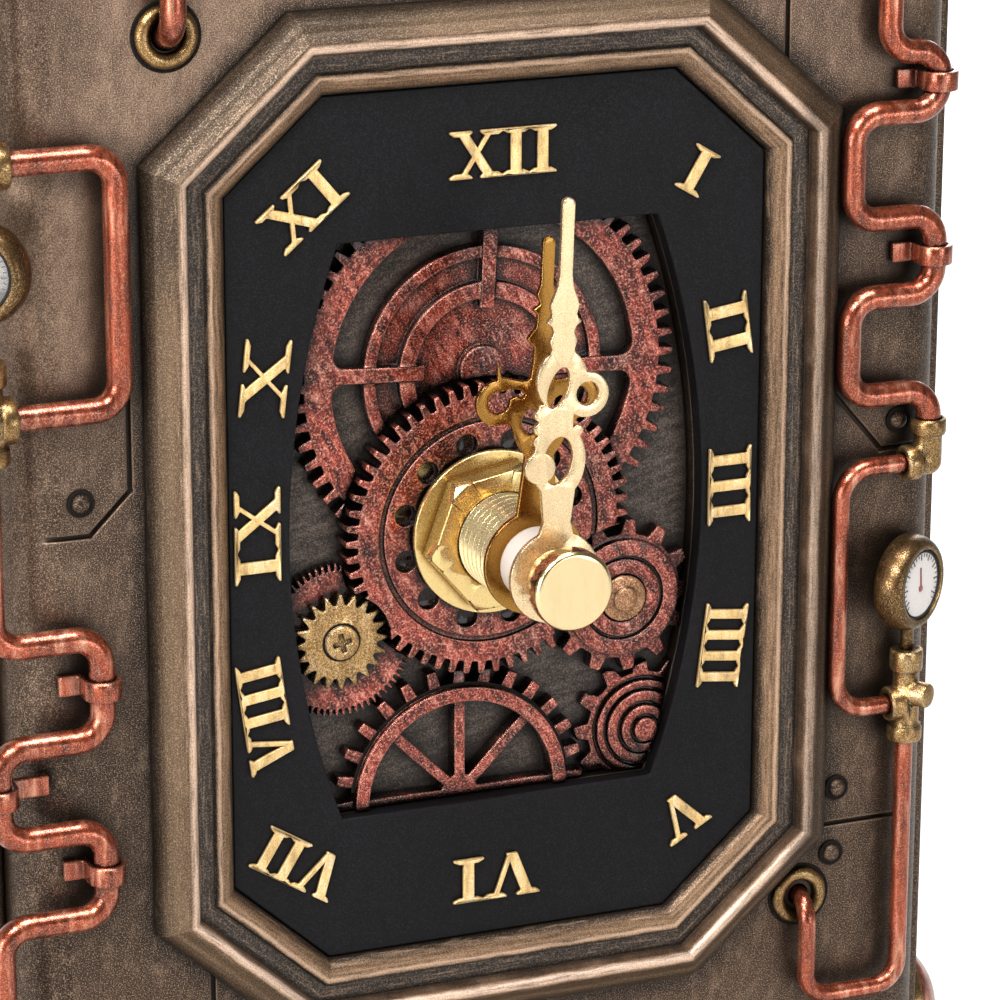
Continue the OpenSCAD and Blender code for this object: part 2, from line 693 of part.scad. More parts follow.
// Roman numerals: letters on a common height, side by side, with serifs
stroke = 0.95;
hair = 0.5;
serif = 0.5;
letter_w = [["I", 2.2], ["V", 4], ["X", 4.3]];
function width_of(c) = [for (l = letter_w) if (l[0] == c) l[1]][0];
function length_of(word, n) = n == 0 ? 0 : length_of(word, n - 1) + width_of(word[n - 1]);
module slant(x0, x1, w) {
  h = numeral_h/2;
  polygon([[x0 - w/2, -h], [x0 + w/2, -h], [x1 + w/2, h], [x1 - w/2, h]]);
}
module serif_bar(x, w, top) {
  h = numeral_h/2;
  tip = 0.2;
  translate([x, 0]) rotate(top > 0 ? 0 : 180)
    polygon([[-w/2, h], [-w/2, h - tip], [-w*0.3, h - serif], [w*0.3, h - serif], [w/2, h - tip], [w/2, h]]);
}
module letter(c, spread) {
  w = width_of(c)*spread;
  thick = stroke*sqrt(spread);
  if (c == "I") {
    square([thick, numeral_h - serif], center = true);
    for (t = [-1, 1]) serif_bar(0, w + 2*eps, t);
  }
  if (c == "V") {
    slant(0, -w*0.3, thick);
    slant(0.1, w*0.3, hair);
    for (s = [-1, 1]) serif_bar(s*w*0.3, w*0.42, 1);
  }
  if (c == "X") {
    slant(w*0.28, -w*0.28, thick);
    slant(-w*0.28, w*0.28, hair);
    for (s = [-1, 1], t = [-1, 1]) serif_bar(s*w*0.29, w*0.43, t);
  }
}
module numeral(word, spread) {
  for (i = [0:len(word) - 1])
    translate([spread*(length_of(word, i) + width_of(word[i])/2 - length_of(word, len(word))/2), 0])
      letter(word[i], spread);
}
// Each numeral's word, its place as shares of the dial's half width and half height, its turn and its spread
numerals = [["XII", 0.005, 0.843, 0, 1.22], ["I", 0.735, 0.762, 31, 1.3], ["II", 0.864, 0.393, 82, 1.43],
  ["III", 0.881, 0.016, 90, 1.17], ["IIII", 0.864, -0.371, 97, 0.97], ["V", 0.712, -0.778, 150, 1.25],
  ["VI", -0.014, -0.861, 180, 1.45], ["VII", -0.761, -0.758, 212, 1.1], ["VIII", -0.878, -0.394, 262, 1.05],
  ["IX", -0.897, 0.029, 270, 1.4], ["X", -0.862, 0.386, 277, 1.7], ["XI", -0.721, 0.759, 320, 1.27]];
module hour_numerals() {
  color(gold) front() slab(0, -numeral_t)
    for (m = numerals) translate([m[1]*dial_w/2, m[2]*dial_h/2]) rotate(-m[3]) numeral(m[0], m[4]);
}

// The relief behind the window: still wheels, each cut clear of the ones in front of it
module relief_plate() {
  color("#2c2724") front() slab(relief_back, window_depth) difference() {
    window(-fit_gap);
    translate(centre_at) circle(stem_d/2 + 0.2);
  }
}
module relief(top) {
  front() intersection() {
    slab(window_depth, top - 1) window(-0.15);
    children();
  }
}
module clear_of(place, r) { translate(place) circle(r + 0.1); }
module relief_great_wheel() {
  top = 1.7;
  spoke = 1.5;
  spoke_end = 6;
  color(relief_copper) relief(top) difference() {
    union() {
      slab(window_depth, top) translate(great_at) difference() {
        toothed(62, great_r, great_r - 1.5, 0.34, 0.52);
        offset(r = 1.2) offset(delta = -1.2) difference() {
          circle(great_r - 4.2);
          rotate(-3) for (a = [0:90:270]) rotate(a) translate([spoke_end, -spoke/2]) square([great_r, spoke]);
        }
      }
      slab(window_depth, top + 0.2) translate(great_at) ring(12, 10.8);
      slab(window_depth, top + 0.9) translate(great_at) circle(11.5);
      slab(window_depth, top + 0.1) translate(great_at) ring(8.5, 6.9);
      slab(window_depth, top + 0.2) translate(great_at) circle(2.3);
    }
    slab(far, -far) {
      clear_of(centre_at, centre_r);
      clear_of(fine_at, fine_r);
      clear_of(hub_at, hub_r);
    }
  }
}
module relief_centre_wheel() {
  hole_n = 12;
  hole_depth = 0.9;
  groove_depth = 0.35;
  color(relief_copper) relief(centre_top) difference() {
    union() {
      slab(window_depth, centre_top) translate(centre_at) toothed(58, centre_r, centre_r - 1.2, 0.38, 0.6);
      slab(window_depth, washer_back) translate(centre_at) circle(7.3);
    }
    slab(centre_top + groove_depth, -far) translate(centre_at) ring(11.15, 10.65);
    slab(centre_top + hole_depth, -far) translate(centre_at)
      for (i = [0:hole_n - 1]) translate(polar(8.75, (i + 0.5)*360/hole_n)) circle(1.05);
    slab(far, -far) {
      translate(centre_at) circle(stem_d/2 + 0.2);
      clear_of(pinion_at, pinion_r);
      clear_of(hub_at, hub_r);
    }
  }
}
module relief_fine_wheel() {
  color(relief_copper) relief(2.1) difference() {
    slab(window_depth, 2.1) translate(fine_at) toothed(70, fine_r, fine_r - 0.7);
    slab(far, -far) {
      clear_of(centre_at, centre_r);
      clear_of(spoked_at, spoked_r);
    }
  }
}
module relief_brass_pinion() {
  top = 1;
  color(brass) relief(top) difference() {
    union() {
      slab(2.1, top) translate(pinion_at) toothed(20, pinion_r, pinion_r - 1.05, 0.14, 0.75);
      slab(2.1, top - 0.4) translate(pinion_at) circle(1.65);
    }
    slab(top, -far) translate(pinion_at)
      for (a = [12, 102]) rotate(a) square([1.9, 0.5], center = true);
  }
}
module relief_spoked_wheel() {
  rim = 1;
  color(relief_copper) relief(rim) difference() {
    union() {
      slab(window_depth, rim) translate(spoked_at) ring(10.9, 9.5);
      slab(window_depth, rim + 0.7) translate(spoked_at) difference() {
        toothed(28, spoked_r, 11, 0.34, 0.5);
        circle(10.3);
      }
      slab(window_depth, rim + 0.6) translate(spoked_at) {
        circle(1.9);
        for (i = [0:7]) rotate(i*45) translate([0.5, -0.55]) square([9.4, 1.1]);
      }
    }
    slab(far, -far) clear_of(centre_at, centre_r);
  }
}
module relief_hub_wheel() {
  top = 1.1;
  color(relief_copper) relief(top) difference() {
    union() {
      slab(window_depth, top + 0.6) translate(hub_at) toothed(13, hub_r, hub_r - 1.4, 0.3, 0.55);
      slab(window_depth, top) translate(hub_at) circle(5.8);
    }
    slab(top + 0.4, -far) translate(hub_at) ring(4.2, 3.9);
    slab(far, -far) translate(hub_at) circle(2.4);
  }
}
module relief_brass_hub() {
  color(brass) front() translate([hub_at[0], 0, hub_at[1]]) {
    bar(window_depth, 0.9, 2.3);
    bar(0.9, 0.4, 1.2);
  }
}
module relief_stepped_wheel() {
  steps = [[4.75, 1.9], [3.75, 1.6], [2.4, 1.2], [1.2, 0.8]];
  foot_depth = 0.75;
  foot_groove = 0.3;
  color(relief_copper) relief(0.8) difference() {
    union() {
      slab(window_depth, 2.3) translate(stepped_at) toothed(12, stepped_r, stepped_r - 1.5, 0.32, 0.58);
      for (s = steps) slab(window_depth, s[1]) translate(stepped_at) circle(s[0]);
    }
    for (s = steps) slab(s[1] + foot_depth, -far) translate(stepped_at) ring(s[0] + foot_groove, s[0]);
    slab(far, -far) {
      clear_of(hub_at, hub_r);
      clear_of(spoked_at, spoked_r);
    }
  }
}

// Copper pipes
module left_upper_pipe() { color(copper) front() left_upper_run(); }
module left_loop_pipe() { color(copper) front() left_loop_run(); }
module left_serpentine_pipe() { color(copper) front() left_serpentine_run(); }
module right_serpentine_pipe() { color(copper) front() right_serpentine_run(); }
module right_loop_pipe() { color(copper) front() right_loop_run(); }
module right_lower_pipe() { color(copper) front() right_lower_run(); }

// Brass fittings, bored for the pipes that end in them: a collar closes each mouth
fitting_waist = 0.3;
module mouth(hub, dir, reach, d) {
  rod(hub, hub + dir*reach, d - fitting_waist);
  rod(hub + dir*(reach - collar_len), hub + dir*reach, d + collar_extra);
}
module elbow(x, z, s, d) {
  hub = at(x, z);
  translate(hub) sphere(d = d - fitting_waist, $fn = 64);
  mouth(hub, [0, 0, 1], elbow_rise, d);
  mouth(hub, [-s, 0, 0], leg, d);
}
module tee(x, z, s, d, reach) {
  boss_d = d*0.8;
  hub = at(x, z);
  boss = hub + [0, 0, boss_lift];
  mouth(hub, [-s, 0, 0], reach, d);
  mouth(hub, [0, 0, -1], tee_drop, d);
  rod(hub, hub + [0, 0, tee_rise], d - fitting_waist - 0.3);
  rod(hub + [0, 0, tee_rise - collar_len - 0.6], hub + [0, 0, tee_rise], d + 0.2);
  // A plugged branch that points outwards and to the front
  rod(boss, boss + [s*leg*sin(gauge_turn), -leg*cos(gauge_turn), 0], boss_d);
}
module left_fittings() {
  color(brass) front() difference() {
    union() {
      elbow(-left_tee, left_loop_top, -1, fitting_d);
      tee(-left_tee, left_loop_low, -1, fitting_d, leg);
    }
    left_upper_run(fit_gap);
    left_loop_run(fit_gap);
    left_serpentine_run(fit_gap);
  }
}
module right_fittings() {
  color(brass) front() difference() {
    union() {
      elbow(right_out, right_loop_top, 1, right_fitting_d);
      tee(right_tee, right_loop_low, 1, right_fitting_d, right_tee_leg);
    }
    right_serpentine_run(fit_gap);
    right_loop_run(fit_gap);
    right_lower_run(fit_gap);
  }
}

// Copper clamps: a strap over the pipe and a tab on the case, towards side s, with a foot where the case drops
clamp_r = pipe_d/2 + fit_gap;
module clamp(x, z, s, tab = clamp_tab, drop = 0) {
  stand = face - pipe_y;
  foot = 0.9;
  translate([x, pipe_y, z - clamp_w/2]) linear_extrude(clamp_w) difference() {
    union() {
      circle(clamp_r + clamp_t);
      translate([-clamp_r - clamp_t, 0]) square([2*(clamp_r + clamp_t), stand - fit_gap]);
      translate([s > 0 ? 0 : -clamp_r - tab, stand - fit_gap - clamp_t*1.5])
        square([clamp_r + tab, clamp_t*1.5]);
      translate([s > 0 ? clamp_r + tab - foot : -clamp_r - tab, stand - fit_gap - clamp_t])
        square([foot, clamp_t + drop]);
    }
    circle(clamp_r);
    translate([-clamp_r, 0]) square([2*clamp_r, stand + 1]);
  }
}
function middle(rows, i) = (rows[i] + rows[i + 1])/2;
// The outer clamp on the left holds on to the case's round corner, at this distance from the case's side
corner_tab = 3.9;
corner_side = half_w - left_out + clamp_r + corner_tab;
corner_drop = corner_r - sqrt(pow(corner_r, 2) - pow(corner_r - corner_side, 2));
module pipe_clamps() {
  color(copper) front() difference() {
    union() {
      clamp(right_out, middle(right_rows, 0), -1);
      clamp(right_out, middle(right_rows, 2), -1);
      clamp(-left_in, middle(left_rows, 0), -1);
      clamp(-left_out, middle(left_rows, 1), 1, corner_tab, corner_drop);
      clamp(-left_in, middle(left_rows, 2), -1);
    }
    // Bored along the pipes, because a pipe's bend may start under its clamp
    right_serpentine_run(fit_gap);
    left_serpentine_run(fit_gap);
  }
}
module pipe_grommets() {
  tube = grommet_d/4 - pipe_d/4 - 0.15;
  color(brass) front() for (g = [left_grommet, right_grommet])
    translate([g[0], face, g[1]]) rotate([90, 0, 0]) intersection() {
      rotate_extrude() translate([grommet_d/2 - tube, 0]) circle(tube, $fn = 24);
      cylinder(h = grommet_d, d = 2*grommet_d);
    }
}
module rivet() {
  ball = (pow(rivet_r, 2) + pow(rivet_h, 2))/(2*rivet_h);
  intersection() {
    translate([0, 0, rivet_h - ball]) sphere(ball, $fn = 32);
    cylinder(h = 2*rivet_h, r = 2*rivet_r);
  }
}
module case_rivets() {
  color(dark_bronze) front() {
    for (p = front_rivets) translate([p[0], face, p[1]]) rotate([90, 0, 0]) rivet();
    for (s = [-1, 1], p = panel_rivets)
      translate([s*(half_w + panel_t), face + p[0], p[1]]) rotate([0, s*90, 0]) rivet();
  }
}

// Gauges on their tees: a lip round the glass, then a body that swells towards the back
// Each gauge's tee, side, extra height and shift across its stem
gauges = [[right_tee, right_loop_low, 1, 0, right_gauge_shift],
  [-left_tee, left_loop_low, -1, left_gauge_lift, 0]];
module gauge_places() {
  for (g = gauges) front() translate([g[0] + g[4], pipe_y, g[1] + gauge_rise + g[3]])
    rotate([0, 0, g[2]*gauge_turn]) children();
}
glass_r = gauge_d/2 - gauge_rim;
glass_seat = 0.5;
gauge_lip = 0.35;
gauge_waist = 1.1;
module gauge_profile() {
  swell = gauge_rim - gauge_lip;
  difference() {
    polygon(concat([[0, 0]], arc(gauge_d/2 - gauge_waist, gauge_waist, gauge_waist, gauge_waist, -90, 0, 5),
      arc(gauge_d/2 - swell, gauge_waist, swell, gauge_depth - gauge_waist, 10, 90, 7), [[0, gauge_depth]]));
    translate([-eps, gauge_depth - glass_seat]) square([glass_r + eps, gauge_depth]);
  }
}
module gauge_bodies() {
  stem_from = tee_rise + fit_gap;
  color(brass) gauge_places() {
    translate([0, gauge_depth/2 - gauge_offset, 0]) rotate([90, 0, 0]) rotate_extrude() gauge_profile();
  }
  color(brass) for (g = gauges) front() translate([g[0], pipe_y, g[1] + stem_from])
    cylinder(h = gauge_rise + g[3] - gauge_d/2 - stem_from + 0.5, d = gauge_stem_d);
}
dial_seat = -gauge_depth/2 - gauge_offset + glass_seat;
module gauge_dials() { color(white) gauge_places() bar(dial_seat, dial_seat - 0.2, glass_r - fit_gap); }
module gauge_lenses() {
  lens_h = 0.5;
  lens_r = glass_r - fit_gap;
  ball = (pow(lens_r, 2) + pow(lens_h, 2))/(2*lens_h);
  color("#dfe8ee", 0.4) gauge_places() translate([0, dial_seat - 0.2, 0]) rotate([90, 0, 0]) rotate_extrude()
    polygon(concat([[0, 0]], arc(0, lens_h - ball, ball, ball, acos(lens_r/ball), 90, 8)));
}

// The quartz movement: housing, rear cover and what they hold
module pivots(r, back, front) {
  for (p = [third_at, seconds_at, inter_at, rotor_at]) translate([p[0], 0, p[1]]) bar(back, front, r);
}
module movement_housing() {
  inner = move_w - 2*move_wall;
  floor_z = (move_w/2 - move_wall + bay_top + bay_wall)/2;
  color(black_plastic) axis() difference() {
    slab(cover_in, move_front) round_rect(move_w, move_w, 3);
    slab(cover_in + 1, move_in) {
      translate([0, floor_z]) square([inner, move_w - 2*move_wall - bay_h - bay_wall], center = true);
      translate([0, battery_z]) square([inner, bay_h], center = true);
    }
    bar(far, 0, stem_d/2 + fit_gap);
    pivots(pivot_r + run_gap, far, move_in - pivot_len - 0.1);
    translate([setting_at[0], 0, setting_at[1]]) bar(far, move_in - pivot_len - 0.1, pivot_r + run_gap);
  }
}
module movement_cover() {
  color(black_plastic) axis() difference() {
    slab(move_back, cover_in + fit_gap) round_rect(move_w, move_w, 3);
    slab(far, -far) translate([0, battery_z - move_wall/2])
      square([move_w - 2*move_wall, bay_h + move_wall + eps], center = true);
    pivots(pivot_r + run_gap, cover_in + pivot_len + 0.1, 0);
    bar(cover_in + pivot_len + 0.1, 0, pivot_r + run_gap);
    translate([setting_at[0], 0, setting_at[1]]) bar(far, 0, setting_r + run_gap);
  }
}
board_w = 11;
board_h = 25;
module circuit_board() {
  place = [-move_w/2 + move_wall + board_w/2 + 0.3, bay_top + bay_wall + board_h/2 + 0.3];
  color("#2f6b45") axis() translate([place[0], 0, place[1]]) {
    slab(cover_in, cover_in - 1) square([board_w, board_h], center = true);
    bar(cover_in - 1, cover_in - 2.2, 3.2);
    slab(cover_in - 1, cover_in - 2.6) translate([0, 8]) round_rect(7, 3, 1.4);
  }
}
coil_r = 3.5;
coil_x = move_w/2 - move_wall - coil_r - 1.6;
coil_z = [bay_top + bay_wall + 4.2, rotor_at[1] - 0.4];
stator_t = 0.8;
stator_back = magnet_layer + 1.6;
core_t = 1.2;
coil_y = cover_in - coil_r;
core_w = 3;
module motor_coil() {
  flange = 0.8;
  color("#b5622f") axis() translate([coil_x, coil_y, 0]) {
    translate([0, 0, coil_z[0]]) cylinder(h = coil_z[1] - coil_z[0], r = coil_r - 0.4);
    for (z = [coil_z[0], coil_z[1] - flange]) translate([0, 0, z]) cylinder(h = flange, r = coil_r);
    for (z = [coil_z[0] - core_w, coil_z[1]]) translate([-core_w/2, stator_back - coil_y, z])
      cube([core_w, core_t, core_w]);
  }
}
module motor_stator() {
  leg = rotor_at[0] + 5.2;
  edge = coil_x + core_w/2;
  color(steel) axis() slab(stator_back, stator_back - stator_t) difference() {
    union() {
      translate([rotor_at[0] - 5, rotor_at[1] - 4.2]) square([leg + core_w - rotor_at[0] + 5, 8.4]);
      translate([leg, coil_z[0] - core_w]) square([core_w, rotor_at[1] - coil_z[0] + core_w]);
      translate([leg, coil_z[0] - core_w]) square([edge - leg, core_w]);
      translate([leg, coil_z[1]]) square([edge - leg, core_w]);
    }
    translate(rotor_at) circle(3.1);
  }
}

// An arbor with a pivot at each end, from the housing to the cover
module arbor(r, back = cover_in) {
  bar(back - 0.2, move_in + 0.2, r);
  bar(move_in + 0.2 + eps, move_in - pivot_len, pivot_r);
  bar(back + pivot_len, back - 0.2 - eps, pivot_r);
}
module wheel(depth, n, m, turn, bore = 0) {
  slab(depth + wheel_t, depth) difference() {
    gear(n, m, turn);
    if (bore > 0) circle(bore);
  }
}
module leaf(depth, n, m, turn) { slab(depth + wheel_t + 0.1, depth - 0.1) gear(n, m, turn); }
module rotor() {
  color(steel) axis() translate([rotor_at[0], 0, rotor_at[1]]) {
    arbor(arbor_r);
    leaf(inter_layer, rotor_pinion_n, train_m, rotor_turn);
    bar(stator_back + 0.6, magnet_layer, 2.5);
  }
}
module intermediate_wheel() {
  color(white) axis() translate([inter_at[0], 0, inter_at[1]]) {
    arbor(arbor_r);
    leaf(seconds_layer, inter_pinion_n, train_m, inter_turn);
    wheel(inter_layer, inter_n, train_m, inter_turn);
  }
}
module seconds_wheel() {
  color(white) axis() translate([seconds_at[0], 0, seconds_at[1]]) {
    arbor(arbor_r);
    leaf(third_layer, seconds_pinion_n, train_m, seconds_turn);
    wheel(seconds_layer, seconds_n, train_m, seconds_turn);
  }
}
module third_wheel() {
  color(white) axis() translate([third_at[0], 0, third_at[1]]) {
    arbor(arbor_r);
    leaf(centre_layer, third_pinion_n, train_m, third_turn);
    wheel(third_layer, third_n, train_m, third_turn);
  }
}
module centre_wheel() { color(white) axis() wheel(centre_layer, centre_n, train_m, 0, tail_r + run_gap); }
module setting_arbor() {
  color(white) axis() translate([setting_at[0], 0, setting_at[1]]) {
    bar(move_back + 0.6, move_in + 0.2, setting_r);
    bar(move_in + 0.2 + eps, move_in - pivot_len, pivot_r);
    leaf(hour_layer, minute_pinion_n, hour_m, setting_turn);
    wheel(minute_layer, minute_wheel_n, motion_m, setting_turn);
  }
}
module setting_knob() {
  grip_n = 24;
  color(black_plastic) axis() translate([setting_at[0], 0, setting_at[1]]) difference() {
    slab(move_back + 0.6 + knob_t, move_back + 0.3) toothed(grip_n, knob_r, knob_r - 0.5);
    bar(move_back + 0.6, 0, setting_r + fit_gap);
    bar(move_back + knob_t + 2, move_back + 0.6 + knob_t*0.6, knob_r - 1.8);
  }
}

// Hands and the pieces that turn with them
module hour_wheel() {
  color(white) axis() difference() {
    union() {
      wheel(hour_layer, hour_wheel_n, hour_m, hour_turn);
      bar(hour_layer, tube_front, hour_tube_d/2);
    }
    bar(far, -far, minute_shaft_d/2 + run_gap);
  }
}
module minute_arbor() {
  color(white) axis() {
    bar(minute_layer, cap_back - cap_t/2, minute_shaft_d/2);
    leaf(minute_layer, cannon_n, motion_m, 0);
    bar(cover_in - 0.2, minute_layer, tail_r);
    bar(cover_in + pivot_len, cover_in - 0.2 - eps, pivot_r);
  }
}
module hour_collar() {
  color(white) axis() slab(hour_hand_back - hand_t, tube_front) ring(3.5, hour_tube_d/2 + fit_gap);
}
// Shapes of the hands, drawn upright: x across the hand, y along it from the axis
module taper(z0, w0, z1, w1) { polygon([[-w0/2, z0], [w0/2, z0], [w1/2, z1], [-w1/2, z1]]); }
module oval(x, z, across, along, tilt = 0) {
  translate([x, z]) rotate(-tilt) polygon(arc(0, 0, across, along, 0, 350, 35));
}
module dot(x, z, r) { translate([x, z]) circle(r); }
// A turned spindle from rows of height and half width, ending in a round tip
rod_r = 0.62;
module spindle(rows, length) {
  up = concat(rows, [[length - rod_r, rod_r]]);
  last = len(up) - 1;
  polygon(concat([for (r = up) [r[1], r[0]]], [for (i = [last:-1:0]) [-up[i][1], up[i][0]]]));
  dot(0, length - rod_r, rod_r);
}
minute_rows = [[20.6, 1.3], [21.5, 1.12], [22.2, 1.35], [23.05, 1], [23.6, 1.2], [24, 1.72], [24.4, 1.35],
  [24.7, 1.2], [25.55, 1.43], [27.2, 0.78], [28.4, rod_r]];
hour_rows = [[16.5, 1.3], [19.8, 1], [20.45, 1], [21.3, 1.75], [22.4, 0.88], [23.5, 0.8], [24.05, 1.27],
  [24.5, 0.55], [25.4, 0.95], [26.3, rod_r]];
module minute_shape() {
  circle(minute_boss_r);
  taper(3.4, 3.8, 5.2, 2.7);
  taper(5.2, 2.7, 8.4, 3.4);
  difference() {
    union() {
      oval(0, 11, 2.6, 3.6);
      oval(0, 18.6, 2.48, 2.9);
      translate([-2.15, 12.4]) square([3.4, 4]);
      for (z = [12.9, 14.1, 15.4]) dot(-2.1, z, 0.5);
      dot(1.75, 13.8, 0.5);
      dot(2.5, 17.1, 2.13);
    }
    oval(-0.13, 11.05, 1.4, 2.25, 8);
    oval(-0.35, 17.9, 0.92, 1.95, 18);
    dot(2.55, 17.2, 1.1);
  }
  dot(-1.85, 10.45, 1.5);
  spindle(minute_rows, minute_len);
}
module hour_shape() {
  circle(hour_boss_r);
  taper(3.5, 4.2, 10.6, 2.8);
  difference() {
    union() {
      polygon([[1.4, 10.2], [2.1, 11.2], [2.7, 12.4], [3.6, 13.6], [3.5, 17.5], [1.6, 17.4], [-1.2, 17.4],
        [-4.2, 17.45], [-4.4, 13.4], [-3, 13.4], [-2.65, 12.4], [-2.1, 11.2], [-1.4, 10.2]]);
      dot(-4.4, 15.45, 2.12);
      dot(3.5, 15.6, 2);
      polygon([[-4.57, 19.35], [-4.4, 17.2], [-1, 16.9], [-0.8, 17.7], [-1.8, 17.35], [-4.1, 17.9]]);
    }
    dot(-4.25, 15.5, 1.05);
    polygon([[-3.3, 15.7], [-2.5, 16], [-1.85, 15.75], [-1.65, 16.1], [-2.15, 16.6], [-3.1, 16.75],
      [-4.2, 16.5]]);
    oval(-0.9, 13.5, 1.02, 1.2);
    oval(1.5, 14.6, 0.7, 1.3, 20);
    dot(3.55, 15.6, 1);
  }
  spindle(hour_rows, hour_len);
}
module hour_hand() {
  color(bright_brass) axis() difference() {
    slab(hour_hand_back, hour_hand_back - hand_t) rotate(-hour_angle) hour_shape();
    bar(far, -far, hour_tube_d/2 + fit_gap);
  }
}
module minute_hand() {
  color(bright_brass) axis() difference() {
    union() {
      slab(minute_hand_back, minute_hand_back - hand_t) rotate(-minute_angle) minute_shape();
      bar(minute_hand_back, cap_back, 2.6);
    }
    bar(far, -far, minute_shaft_d/2 + fit_gap);
  }
}
module hand_cap() {
  edge = 0.3;
  color(bright_brass) axis() translate([0, cap_back, 0]) rotate([90, 0, 0]) difference() {
    union() {
      cylinder(h = cap_t - edge, r = cap_r);
      translate([0, 0, cap_t - edge]) cylinder(h = edge, r1 = cap_r, r2 = cap_r - edge);
    }
    translate([0, 0, -1]) cylinder(h = 1 + cap_t/2 + fit_gap, d = minute_shaft_d + 2*fit_gap);
  }
}

// The stem through the dial, and what clamps it
module threaded_stem() {
  color(bright_brass) axis() slab(move_in, stem_front) ring(stem_d/2, hour_tube_d/2 + run_gap);
}
module stem_washer() {
  color(bright_brass) axis() slab(washer_back, nut_back) ring(washer_d/2, stem_d/2 + fit_gap);
}
module stem_nut() {
  bevel = 0.6;
  color(bright_brass) axis() difference() {
    intersection() {
      slab(nut_back, nut_back - nut_t) rotate(10) circle(nut_af/sqrt(3), $fn = 6);
      translate([0, nut_back + eps, 0]) rotate([90, 0, 0]) union() {
        cylinder(h = nut_t - bevel + eps, r = nut_af);
        translate([0, 0, nut_t - bevel]) cylinder(h = bevel + 1, r1 = nut_af/sqrt(3), r2 = nut_af/2 - 1);
      }
    }
    bar(far, -far, stem_d/2 + fit_gap);
  }
}
module stem_gasket() {
  color("#161616") axis() slab(move_front, face_back) ring(stem_d/2 + 5, stem_d/2 + fit_gap);
}

// The battery and its contacts
module battery() {
  color("#3a3d42") axis() translate([0, battery_y, battery_z]) rotate([0, 90, 0]) {
    translate([0, 0, -battery_len/2]) cylinder(h = battery_len, d = battery_d);
    translate([0, 0, battery_len/2]) cylinder(h = nub_len, r = nub_r);
  }
}
module battery_contacts() {
  wall_x = move_w/2 - move_wall;
  for (s = [-1, 1]) {
    touch = battery_len/2 + (s > 0 ? nub_len : 0);
    color(steel) axis() translate([0, battery_y, battery_z]) rotate([0, s*90, 0]) {
      translate([-4, -4.5, wall_x - contact_t]) cube([8, 9, contact_t]);
      translate([0, 0, touch]) cylinder(h = wall_x - touch, r1 = 2, r2 = 3.2);
    }
  }
}

case_shell();
rear_cover();
cover_screws();
base_plinth();
base_bead();
base_felt();
top_cornice();
side_panels();
side_domes();
dome_rings();
bezel_frame();
dial_plate();
hour_numerals();
relief_plate();
relief_great_wheel();
relief_centre_wheel();
relief_fine_wheel();
relief_brass_pinion();
relief_spoked_wheel();
relief_hub_wheel();
relief_brass_hub();
relief_stepped_wheel();
left_upper_pipe();
left_loop_pipe();
left_serpentine_pipe();
right_serpentine_pipe();
right_loop_pipe();
right_lower_pipe();
left_fittings();
right_fittings();
pipe_clamps();
pipe_grommets();
case_rivets();
gauge_bodies();
gauge_dials();
gauge_lenses();
movement_housing();
movement_cover();
circuit_board();
motor_coil();
motor_stator();
rotor();
intermediate_wheel();
seconds_wheel();
third_wheel();
centre_wheel();
setting_arbor();
setting_knob();
hour_wheel();
hour_hand();
hour_collar();
minute_arbor();
minute_hand();
hand_cap();
threaded_stem();
stem_washer();
stem_nut();
stem_gasket();
battery();
battery_contacts();
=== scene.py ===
# %% [markdown]
# # A steampunk desk clock
# The clock is a cast case with a bronze wash, dressed with copper pipes, brass fittings and two
# gauges. Behind a window in the black dial lies a relief of still gear wheels, and a quartz
# movement turns two polished brass hands in front of it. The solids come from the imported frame,
# and this lesson rounds their edges, gives them finishes and adds what is too fine for the solids.

# %% Load the frame
import json
import math

import bmesh
import bpy
from mathutils import Matrix, Vector


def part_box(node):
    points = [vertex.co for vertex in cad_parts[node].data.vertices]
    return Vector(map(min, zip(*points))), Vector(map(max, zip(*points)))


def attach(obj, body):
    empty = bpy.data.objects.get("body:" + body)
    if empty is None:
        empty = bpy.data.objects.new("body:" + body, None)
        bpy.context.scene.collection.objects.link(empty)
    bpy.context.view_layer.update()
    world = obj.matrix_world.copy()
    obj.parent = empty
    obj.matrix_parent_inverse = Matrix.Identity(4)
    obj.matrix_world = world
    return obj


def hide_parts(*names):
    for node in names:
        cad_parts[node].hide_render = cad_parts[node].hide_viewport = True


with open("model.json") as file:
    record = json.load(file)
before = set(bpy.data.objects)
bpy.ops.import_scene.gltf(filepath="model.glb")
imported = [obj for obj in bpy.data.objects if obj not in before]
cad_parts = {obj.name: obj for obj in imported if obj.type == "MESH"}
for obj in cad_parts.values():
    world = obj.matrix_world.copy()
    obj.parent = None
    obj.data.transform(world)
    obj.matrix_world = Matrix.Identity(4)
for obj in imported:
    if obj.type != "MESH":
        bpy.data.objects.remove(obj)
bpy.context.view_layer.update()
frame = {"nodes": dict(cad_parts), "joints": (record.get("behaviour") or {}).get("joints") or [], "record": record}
nodes = frame["nodes"]
record = frame["record"]
MM = 0.001

# %% [markdown]
# ## Places to measure from
# Every piece is drawn round the middle of the dial or round the hand axis. Both come from the
# frame, so nothing has to be fitted by eye.

# %% The dial's middle and the hand axis
dial_low, dial_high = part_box("dial_plate")
DIAL = Vector(((dial_low.x + dial_high.x) / 2, dial_low.y, (dial_low.z + dial_high.z) / 2))
joint_at = {joint["name"]: Vector(joint["pos_m"]) for joint in frame["joints"]}
AXIS = Vector((joint_at["minute_turn"].x, DIAL.y, joint_at["minute_turn"].z))
print("dial", DIAL, "axis", AXIS)

# %% [markdown]
# ## Camera
# The photograph was taken with a long lens from the left and a little above. A camera solved from
# the dial's eight corners and the round stem hardware gives the place, the turn and the lens.

